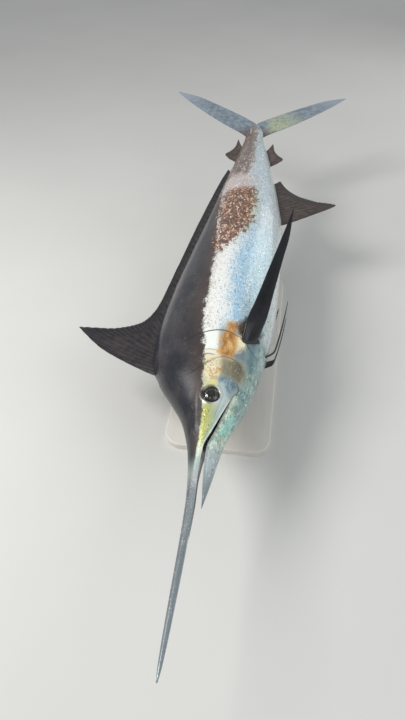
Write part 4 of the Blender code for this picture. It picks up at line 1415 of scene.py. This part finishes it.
# Small marks over a region: kind, scale, how much they cover, size or soft edge, colour, strength
skinMarks = {
    # The white spots on the flank stand for its silver grain and in part for painted glints
    "flank": (
        ("spots", 120, 0.42, 0.50, "f4f7f6", 0.60), ("spots", 150, 0.50, 0.45, "587a90", 0.62),
        ("spots", 210, 0.50, 0.45, "f7f8f6", 0.70), ("spots", 260, 0.34, 0.45, "44606f", 0.60),
    ),
    "flankScales": (("long flecks", 120, 0.27, 0.09, "4d6472", 0.55),),
    "everywhere": (("flecks", 230, 0.20, 0.05, "33434c", 0.60),),
    "throat": (("spots", 140, 0.35, 0.45, "dcebe6", 0.60),),
    "frontCheek": (
        ("spots", 150, 0.50, 0.45, "fbf8e6", 0.70), ("spots", 190, 0.45, 0.45, "8a6532", 0.80),
        ("flecks", 110, 0.36, 0.08, "5c4a2c", 0.75),
    ),
    "cheekGrey": (("spots", 210, 0.20, 0.45, "c9c3a6", 0.40),),
    "amber": (("spots", 170, 0.22, 0.45, "eecb83", 0.55),),
    "nearAmber": (("spots", 240, 0.28, 0.45, "6d3d17", 0.60), ("flecks", 150, 0.27, 0.06, "553214", 0.70)),
    "lime": (
        ("flecks", 120, 0.36, 0.07, "565c2e", 0.80), ("spots", 190, 0.36, 0.45, "626a34", 0.75),
        ("spots", 230, 0.30, 0.45, "ecebc6", 0.45),
    ),
    "jaw": (
        ("spots", 150, 0.42, 0.45, "eaf2ec", 0.70), ("flecks", 105, 0.42, 0.08, "364e4b", 0.75),
        ("spots", 120, 0.35, 0.45, "5d7c79", 0.50),
    ),
    # The pale flecks on the bill are painted glints
    "bill": (("flecks", 190, 0.42, 0.07, "c3cacb", 0.70), ("flecks", 150, 0.30, 0.06, "343b41", 0.65)),
    "back": (("long flecks", 110, 0.30, 0.08, "6d655c", 0.35),),
    "copper": (("spots", 125, 0.30, 0.45, "e9dbd6", 0.80),),
    "stock": (("spots", 110, 0.55, 0.55, "c9bdb0", 0.85), ("spots", 160, 0.50, 0.50, "6a4a36", 0.80)),
    "pinkTop": (("spots", 110, 0.50, 0.50, "f3ebe8", 0.75), ("spots", 150, 0.40, 0.45, "7b5a4b", 0.70)),
    "finBase": (("spots", 200, 0.20, 0.45, "8f7648", 0.50),),
}
# How ragged and how soft the edge of a patch is, where it is painted
patchEdges = {
    "underShade": (1.6, 0.30),
    "cream": (0.8, 0.10),
    "creamFront": (0.7, 0.10),
    "cheekGrey": (1.6, 0.30),
    "cheekBlue": (1.7, 0.28),
    "creamSide": (1.6, 0.24),
    "amber": (2.0, 0.22),
    "amberRim": (2.4, 0.40),
    "creamSpots": (0.8, 0.1),
    "yellowEye": (2.0, 0.30),
    "paleFold": (1.0, 0.16),
    "lime": (1.5, 0.26),
    "turquoise": (1.5, 0.14),
    "copperRim": (0.9, 0.24),
    "copper": (1.7, 0.12),
    "stock": (1.7, 0.16),
    "pinkTop": (2.2, 0.30),
    "finBase": (1.5, 0.24),
    "finRoot": (0.8, 0.20),
}
# Shares along the fish between which a paint comes in
alongZones = {
    "aft": (0.46, 0.60),
    "flank": (0.23, 0.28),
    "beforeFlank": (0.245, 0.205),
    "behindBill": (0.030, 0.070),
    "coverFront": (0.150, 0.185),
    "coverRear": (0.290, 0.262),
    "coverMiddle": (0.216, 0.226),
    "paleCream": (0.208, 0.236),
    "frontCheek": (0.226, 0.196),
    "snoutRear": (0.150, 0.120),
    "snoutFront": (0.020, 0.060),
    "limeFrontGlint": (0.096, 0.074),
    "jawTip": (0.110, 0.060),
    "bill": (0.062, 0.020),
    "back": (0.030, 0.075),
    "frontStock": (0.90, 0.80),
    "lip": (0.04, 0.09),
    "needles": (0.17, 0.26),
}
# Heights on the flank between which a paint comes in, and how uneven its edge is
heightZones = {
    "throat": (-0.034, -0.046, 0.010),
    "cheekTop": (0.006, -0.004, 0.010),
    "cheekLow": (-0.046, -0.034, 0.0),
    "behindCheek": (-0.020, -0.028, 0.014),
    "cheekYellow": (-0.016, -0.006, 0.012),
    "lime": (-0.007, 0.005, 0.0),
    "lowJawShade": (-0.026, -0.040, 0.008),
    "copperRim": (0.012, -0.010, 0.0),
    "finBase": (-0.024, -0.035, 0.012),
    "lowRing": (0.001, -0.008, 0.008),
}


def makeSkinMaterial():
    material, sockets, coords = newMaterial(
        "fish skin", IOR=1.45, Coat_Roughness=0.06, Coat_IOR=1.36, Specular_IOR_Level=0.45
    )
    fields = ("share", "height", "tone", "dark", "jaw", "lip", "inside")
    share, height, tone, dark, belowMouth, lip, inside = (readAt(coords.tree, name) for name in fields)
    along = stretched(coords, (1.0, 0.5, 1.0))
    broad = noiseAt(along, 14.0, 4.0, 0.6)
    middle = noiseAt(along, 48.0, 4.0, 0.62)
    fine = noiseAt(coords, 170.0, 3.0, 0.6)
    grain = noiseAt(along, 260.0, 3.0, 0.7)
    around = middle * 0.65 + grain * 0.35
    noises = {"broad": broad, "middle": middle, "fine": fine, "around": around}

    def zone(name):
        return eased(share, *alongZones[name])

    def level(name):
        low, high, uneven = heightZones[name]
        return eased(height + around.swing(uneven) if uneven else height, low, high)

    # How strongly a patch shows, its edge broken by a value that varies over the skin
    def patch(name, look=None):
        ragged, edge = patchEdges[look or name]
        value = readAt(coords.tree, name) + around.swing(ragged)
        return eased(value, 0.5 - edge, 0.5 + edge)

    # A region's two colours, mixed by a noise of its own or by what is given
    def pair(name, factor=None):
        first, second, *blend = skinPaint[name]
        noise = noises[blend[0]] if blend else around
        usual = eased(noise, *blend[1:]) if blend[1:] else noise
        return mixed(factor or usual, first, second)

    def marked(colour, name, region=None):
        for kind, scale, cover, size, digits, strength in skinMarks[name]:
            if kind == "spots":
                mask = useGroup(spotGroup, along, "Mask", Scale=scale, Cover=cover, Size=size)
            else:
                vector = along if kind == "long flecks" else coords
                mask = useGroup(fleckGroup, vector, "Mask", Scale=scale, Cover=cover, Edge=size)
            colour = over(colour, region * mask if region else mask, digits, strength)
        return colour

    # Flank from the belly to the silver beside the back, in grains like scales
    quarter = (tone + middle.swing(0.8) + broad.swing(0.5) + grain.swing(1.7)) * 0.25
    colour = mixed(zone("aft"), rampAt(quarter, skinPaint["flank"]), rampAt(quarter, skinPaint["aft"]))
    onFlank = zone("flank")
    colour = marked(colour, "flank", onFlank)
    colour = over(colour, zone("beforeFlank") * zone("behindBill"), pair("headGround"), 0.92)
    colour = marked(colour, "flankScales", onFlank)
    colour = marked(colour, "everywhere")

    # Throat and the side below the gill cover
    onCover = zone("coverFront") * zone("coverRear")
    throat = onCover * level("throat")
    colour = over(colour, throat, pair("throat"), 0.85)
    colour = marked(colour, "throat", throat)
    colour = over(colour, patch("underShade"), pair("underShade"), 0.9)

    # Cheek and gill cover
    cheek = onCover * level("cheekTop") * level("cheekLow")
    colour = over(colour, cheek, pair("cheek"), 0.85)
    behindCheek = cheek * level("behindCheek") * zone("coverMiddle")
    colour = over(colour, behindCheek, pair("behindCheek"), 0.9)
    colour = over(colour, patch("cream"), mixed(zone("paleCream"), pair("cream"), "f1f6ef"), 0.95)
    frontCheek = patch("cream", "creamFront") * zone("frontCheek")
    colour = over(colour, frontCheek * eased(around, 0.51, 0.58), "c08c3c", 0.75)
    colour = marked(colour, "frontCheek", frontCheek)
    grey = over(pair("cheekGrey"), level("cheekYellow"), "a08b48", 0.7)
    colour = over(colour, patch("cheekGrey"), marked(grey, "cheekGrey"), 0.95)
    colour = over(colour, patch("cheekBlue"), pair("cheekBlue"), 0.9)
    colour = over(colour, patch("creamSide"), pair("creamSide"), 0.95)
    inner = eased(readAt(coords.tree, "amber"), 0.62, 0.86)
    gold = mixed(inner, "b8792f", pair("amber"))
    gold = over(gold, eased(around, 0.49, 0.64), "e6bc78", 0.7)
    amber = patch("amber")
    colour = over(colour, patch("amber", "amberRim"), "dcc07c", 0.7)
    colour = marked(over(colour, amber, gold), "amber", amber)
    colour = marked(colour, "nearAmber", (amber + patch("creamSide", "creamSpots")).capped())
    colour = over(colour, patch("yellowEye"), pair("yellowEye"), 0.9)
    colour = over(colour, patch("paleFold"), pair("paleFold"), 0.75)

    # Snout and lower jaw
    lime = patch("lime")
    limeColour = over(pair("lime", level("lime")), eased(around, 0.48, 0.64), "d3d292", 0.65)
    # The front of the lime patch is paled to a whitish yellow as a painted glint
    limeColour = mixed(zone("limeFrontGlint"), limeColour, "d9dcc2")
    colour = over(colour, zone("snoutRear") * zone("snoutFront"), pair("snout"), 0.9)
    colour = marked(over(colour, lime, limeColour), "lime", lime)
    jawColour = mixed(zone("jawTip"), pair("jaw"), pair("jawTip"))
    # The jaw's lower side is painted darker teal as shade
    jawColour = over(jawColour, level("lowJawShade"), pair("lowJawShade"), 0.75)
    colour = marked(over(colour, belowMouth, jawColour, 0.95), "jaw", belowMouth)
    # A bright turquoise spot on the lower jaw is a painted glint
    colour = over(colour, patch("turquoise"), pair("turquoise"), 0.75)

    # Bill
    billColour = mixed(eased(tone, 1.2, 2.9), "7b858a", pair("bill"))
    billColour = over(billColour, eased(tone, 2.9, 3.3), "454d54", 0.75)
    colour = over(colour, zone("bill"), marked(billColour, "bill"), 0.95)

    # Dark back, with a strip that runs on over the snout
    backLevel = tone + middle.swing(0.30) + fine.swing(0.16)
    back = eased(backLevel, 2.95, 3.05) * zone("back")
    backColour = over(pair("back"), eased(backLevel, 3.5, 3.02), "463a33", 0.6)
    colour = over(colour, back, marked(backColour, "back"))

    # Copper net on the rear flank and the brown tail stock
    netCells = cellsAt(stretched(coords, (1.0, 0.7, 1.0)), 100.0, "SMOOTH_F1")
    net = rampAt(netCells + middle.swing(0.8) + grain.swing(0.7) + 0.16, skinPaint["net"])
    colour = over(colour, patch("copper", "copperRim") * level("copperRim"), "c3c08c", 0.75)
    copper = patch("copper")
    colour = over(colour, copper, marked(net, "copper"), 0.95)
    stockColour = marked(pair("stock"), "stock", zone("frontStock"))
    colour = over(colour, patch("stock"), stockColour, 0.92)
    colour = over(colour, patch("pinkTop"), marked(pair("pinkTop"), "pinkTop"), 0.75)

    # Around the fin's base, lips, eye rim, painted shade in the folds and round the eye, and the inside of
    # the mouth
    # The patch round the pectoral fin's base is partly the flank's own brown and partly painted shade where
    # the fin sets in, near black below
    finBase = marked(pair("finBase", level("finBase")), "finBase")
    colour = over(colour, patch("finBase"), finBase, 0.9)
    colour = over(colour, patch("finRoot"), pair("finRoot"), 0.97)
    colour = over(colour, lip * eased(around, 0.36, 0.60, 0.35, 1.0), pair("lip", zone("lip")), 0.85)
    # The eye's rim is painted dark above and pale below; the pale crescent below the eye is a painted
    # highlight
    ring = readAt(coords.tree, "eyeRing") * eased(fine, 0.30, 0.55, 0.6, 1.0)
    colour = over(colour, ring, pair("eyeRing", level("lowRing")), 0.8)
    # A dark ring painted round the eyeball's edge, as the shade in the gap where it sets into the head
    colour = over(colour, readAt(coords.tree, "socket"), "17171a", 0.92)
    # Painted shade in the creases, nostril pits, the mouth's slit and under the gill cover's rim
    colour = over(colour, dark * (fine * 0.4 + 0.75), "1c1a1a", 0.88)
    wire(sockets["Base Color"], over(colour, inside, pair("inside")))

    film = useGroup(wetGroup, coords, "Roughness", Scale=1.0, Rough=0.30, Spread=0.28)
    wire(sockets["Roughness"], film)
    lessCoat = (copper * 0.65 + back * 0.5).capped()
    wire(sockets["Coat Weight"], film.beside("Film") * (1.0 - lessCoat))
    plain = (back + copper + belowMouth).capped()
    wire(sockets["Metallic"], (1.0 - plain) * (eased(tone, 0.9, 2.2, 0.02, 0.18) + grain * 0.22))

    # Thin needle-like scales under the skin, pores and fine creases
    needles = cellsAt(stretched(coords, (1.0, 0.22, 1.0)), 330.0)
    scales = needles * (zone("needles") * (1.0 - back * 0.6))
    bumped(sockets, scales * 0.5 + fine * 0.5 + middle * 0.25, 0.45, 0.0016)
    return material


finPaint = {
    # deep, light, tip, rays, how much flecks cover, roughness
    "back fin": ("19181f", "302b2c", "14151b", "46403e", 0.3, 0.40),
    "belly fin": ("2a2526", "453a35", "2a2729", "574c45", 0.3, 0.40),
    "rear fins": ("332b29", "54463f", "2f2b2b", "695d55", 0.3, 0.40),
    "breast fins": ("06080d", "0f1117", "080a11", "1b1d25", 0.2, 0.38),
    "tail fin": ("5b6671", "788792", "8b93a0", "9ba7af", 0.4, 0.40),
}


# The lobes of the tail differ: grey-blue over the middle, yellow-green at the root under it
def tailPaint(colour, coords, along):
    x = put(coords.tree, "SeparateXYZ", {0: coords}, "X")
    middle = noiseAt(coords, 30.0)
    lower = eased(x + middle * 0.03, 0.03, 0.10)
    lime = lower * eased(along, 0.60, 0.22) * eased(noiseAt(coords, 95.0, 4.0, 0.65), 0.30, 0.62)
    colour = over(colour, lime, mixed(middle, "8f9866", "d6dcb0"), 0.8)
    return over(colour, eased(x.beside("Y"), 1.42, 1.32), "54443d", 0.8)


def makeFinMaterial(name):
    deep, light, tip, rayTone, cover, rough = finPaint[name]
    material, sockets, coords = newMaterial(
        name, IOR=1.45, Coat_Roughness=0.07, Coat_IOR=1.33, Specular_IOR_Level=0.35
    )
    across, along, ridge = (readAt(coords.tree, label) for label in ("across", "along", "ridge"))
    middle = noiseAt(coords, 34.0, 4.0, 0.6)
    colour = mixed(eased(middle, 0.36, 0.64), deep, light)
    colour = mixed(eased(along, 0.55, 1.0), colour, tip)
    colour = mixed(eased(ridge, 0.35, 0.95) * (middle * 0.55 + 0.05), colour, rayTone)
    flecks = useGroup(fleckGroup, coords, "Mask", Scale=120.0, Cover=cover, Edge=0.08)
    colour = over(colour, flecks, light, 0.5)
    if name == "tail fin":
        colour = tailPaint(colour, coords, along)
    wire(sockets["Base Color"], colour)
    film = useGroup(wetGroup, coords, "Roughness", Scale=1.2, Rough=rough, Spread=0.30)
    wire(sockets["Roughness"], film)
    wire(sockets["Coat Weight"], film.beside("Film") * 0.45)
    threads = across.math("SINE", across * 320.0)
    bumped(sockets, threads * 0.12 + film.beside("Height"), 0.35, 0.0010)
    return material


def makeGlobeMaterial():
    material, sockets, coords = newMaterial("eye globe", Roughness=0.35, IOR=1.4)
    out, turn = readAt(coords.tree, "fromAxis"), readAt(coords.tree, "turn")
    spokes = put(coords.tree, "CombineXYZ", {0: turn * 7.0, 1: out * 2.0}, "Vector")
    fibres = noiseAt(spokes, 3.0, 4.0, 0.5)
    iris = rampAt(fibres, ((0.30, "1d1a19"), (0.50, "40352b"), (0.70, "756347")))
    edge = out + fibres.swing(0.06)
    colour = mixed(eased(edge, 0.44, 0.52), "020203", iris)
    wire(sockets["Base Color"], mixed(eased(edge, 0.60, 0.86), colour, "09090b"))
    bumped(sockets, fibres, 0.3, 0.0006)
    return material


def makeCorneaMaterial():
    material, sockets, coords = newMaterial(
        "cornea", IOR=1.376, Transmission_Weight=1.0, Coat_Weight=0.5, Coat_Roughness=0.03
    )
    film = noiseAt(coords, 120.0)
    wire(sockets["Roughness"], eased(film, 0.3, 0.8, 0.01, 0.05))
    wire(sockets["Base Color"], mixed(film, "f4f7f8", "e8eef0"))
    return material


def makeBoardMaterial():
    material, sockets, coords = newMaterial("painted board", IOR=1.45)
    grain = noiseAt(stretched(coords, (1.0, 0.06, 1.0)), 60.0, 5.0, 0.6)
    orange = noiseAt(coords, 420.0, 2.0)
    broad = noiseAt(coords, 5.0)
    colour = over(mixed(broad, "c9c6bf", "d4d1cb"), eased(grain, 0.45, 0.7), "b7b2a8", 0.18)
    worn = eased(put(coords.tree, "NewGeometry", {}, "Pointiness"), 0.51, 0.60) * noiseAt(coords, 14.0)
    wire(sockets["Base Color"], over(colour, worn, "dedbd4", 0.5))
    wire(sockets["Roughness"], eased(broad, 0.3, 0.7, 0.40, 0.52))
    bumped(sockets, grain * 0.8 + orange * 0.4, 0.25, 0.0006)
    return material


def makeSteelMaterial():
    material, sockets, coords = newMaterial("brushed steel", Metallic=1.0, IOR=2.5)
    lines = noiseAt(stretched(coords, (1.0, 1.0, 0.02)), 900.0)
    wire(sockets["Base Color"], mixed(lines, "b4b6b8", "cfd0d1"))
    wire(sockets["Roughness"], eased(lines, 0.3, 0.7, 0.22, 0.36) + noiseAt(coords, 18.0) * 0.08)
    bumped(sockets, lines, 0.12, 0.0003)
    return material


skin = makeSkin()
print("skin made:", len(skin.data.polygons), "faces")
fleshNodes = (
    "bill", "head", "lower_jaw", "gill_cover_left", "gill_cover_right", "shoulder", "trunk_middle",
    "trunk_rear", "tail_stock",
)
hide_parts(*fleshNodes)
fins = makeFins()
print("fins made:", len(fins))
eyes = makeEyes()
supports = makeStand()
print("eyes and stand made")
finMaterials = {name: makeFinMaterial(name) for name in finPaint}
globe, cornea = makeGlobeMaterial(), makeCorneaMaterial()
board, steel = makeBoardMaterial(), makeSteelMaterial()
everything = [(skin, makeSkinMaterial(), "skin")]
for name, piece in fins.items():
    label = "rear fins" if name.startswith("rear") else name.replace("_", " ")
    everything.append((piece, finMaterials.get(label, finMaterials["breast fins"]), "fin"))
for name, piece in eyes.items():
    everything.append((piece, globe if name.startswith("globe") else cornea, "eye"))
for name, piece in supports.items():
    isBoard = name == "board_top"
    everything.append((piece, board if isBoard else steel, "board" if isBoard else "steel"))
for piece, material, slot in everything:
    piece.data.materials.clear()
    piece.data.materials.append(material)
    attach(piece, "root")
print("materials made")


view = {
    "place": (0.2066, -2.2288, 2.0371),
    "right": (0.9895, 0.1441, -0.0123),
    "down": (0.0893, -0.6759, -0.7315),
    "ahead": (-0.1138, 0.7227, -0.6817),
    "lens": 31.175,
    "sensor": 36,
}
studio = {
    "floor": 300,  # metres across, so that its edge lies on the horizon
    "world": ((0.86, 0.88, 0.90, 1), 0.56),
    # place, where it points, size, power, colour
    "key": ((-2.6, -1.2, 3.6), (0, 0.1, 0.35), 2.0, 165, (1.0, 0.98, 0.95)),
    "fill": ((3.0, -2.0, 3.0), (0, 0.1, 0.35), 2.6, 45, (0.94, 0.97, 1.0)),
    "rim": ((2.4, 3.8, 2.2), (0, 0.4, 0.35), 2.6, 26, (1.0, 1.0, 1.0)),
}


def makeCamera():
    data = bpy.data.cameras.new("camera")
    camera = bpy.data.objects.new("camera", data)
    bpy.context.scene.collection.objects.link(camera)
    right, down, ahead, place = (Vector(view[key]) for key in ("right", "down", "ahead", "place"))
    turn = Matrix((right, -down, -ahead)).transposed().to_4x4()
    camera.matrix_world = Matrix.Translation(place) @ turn
    data.lens = view["lens"]
    data.sensor_width = view["sensor"]
    bpy.context.scene.camera = camera


def makeFloor():
    deselectAll()
    bpy.ops.mesh.primitive_plane_add(size=studio["floor"], location=(0, 0, 0))
    floor = bpy.context.object
    floor.name = "floor"
    material, sockets, coords = newMaterial("floor", Roughness=0.75)
    wire(sockets["Base Color"], mixed(noiseAt(coords, 1.3, 2.0), "c2c2bf", "cbcbc8"))
    floor.data.materials.append(material)


def makeLight(name):
    place, target, size, power, colour = studio[name]
    data = bpy.data.lights.new(name, "AREA")
    data.shape = "DISK"
    data.size = size
    data.energy = power
    data.color = colour
    lamp = bpy.data.objects.new(name, data)
    bpy.context.scene.collection.objects.link(lamp)
    lamp.location = place
    lamp.rotation_euler = (Vector(target) - Vector(place)).to_track_quat("-Z", "Y").to_euler()


makeCamera()
makeFloor()
for name in ("key", "fill", "rim"):
    makeLight(name)
world = bpy.data.worlds.new("studio") if bpy.context.scene.world is None else bpy.context.scene.world
bpy.context.scene.world = world
world.use_nodes = True
sky = world.node_tree.nodes["Background"].inputs
sky["Color"].default_value, sky["Strength"].default_value = studio["world"]
bpy.context.scene.view_settings.view_transform = "Standard"
print("camera, floor and lights made")
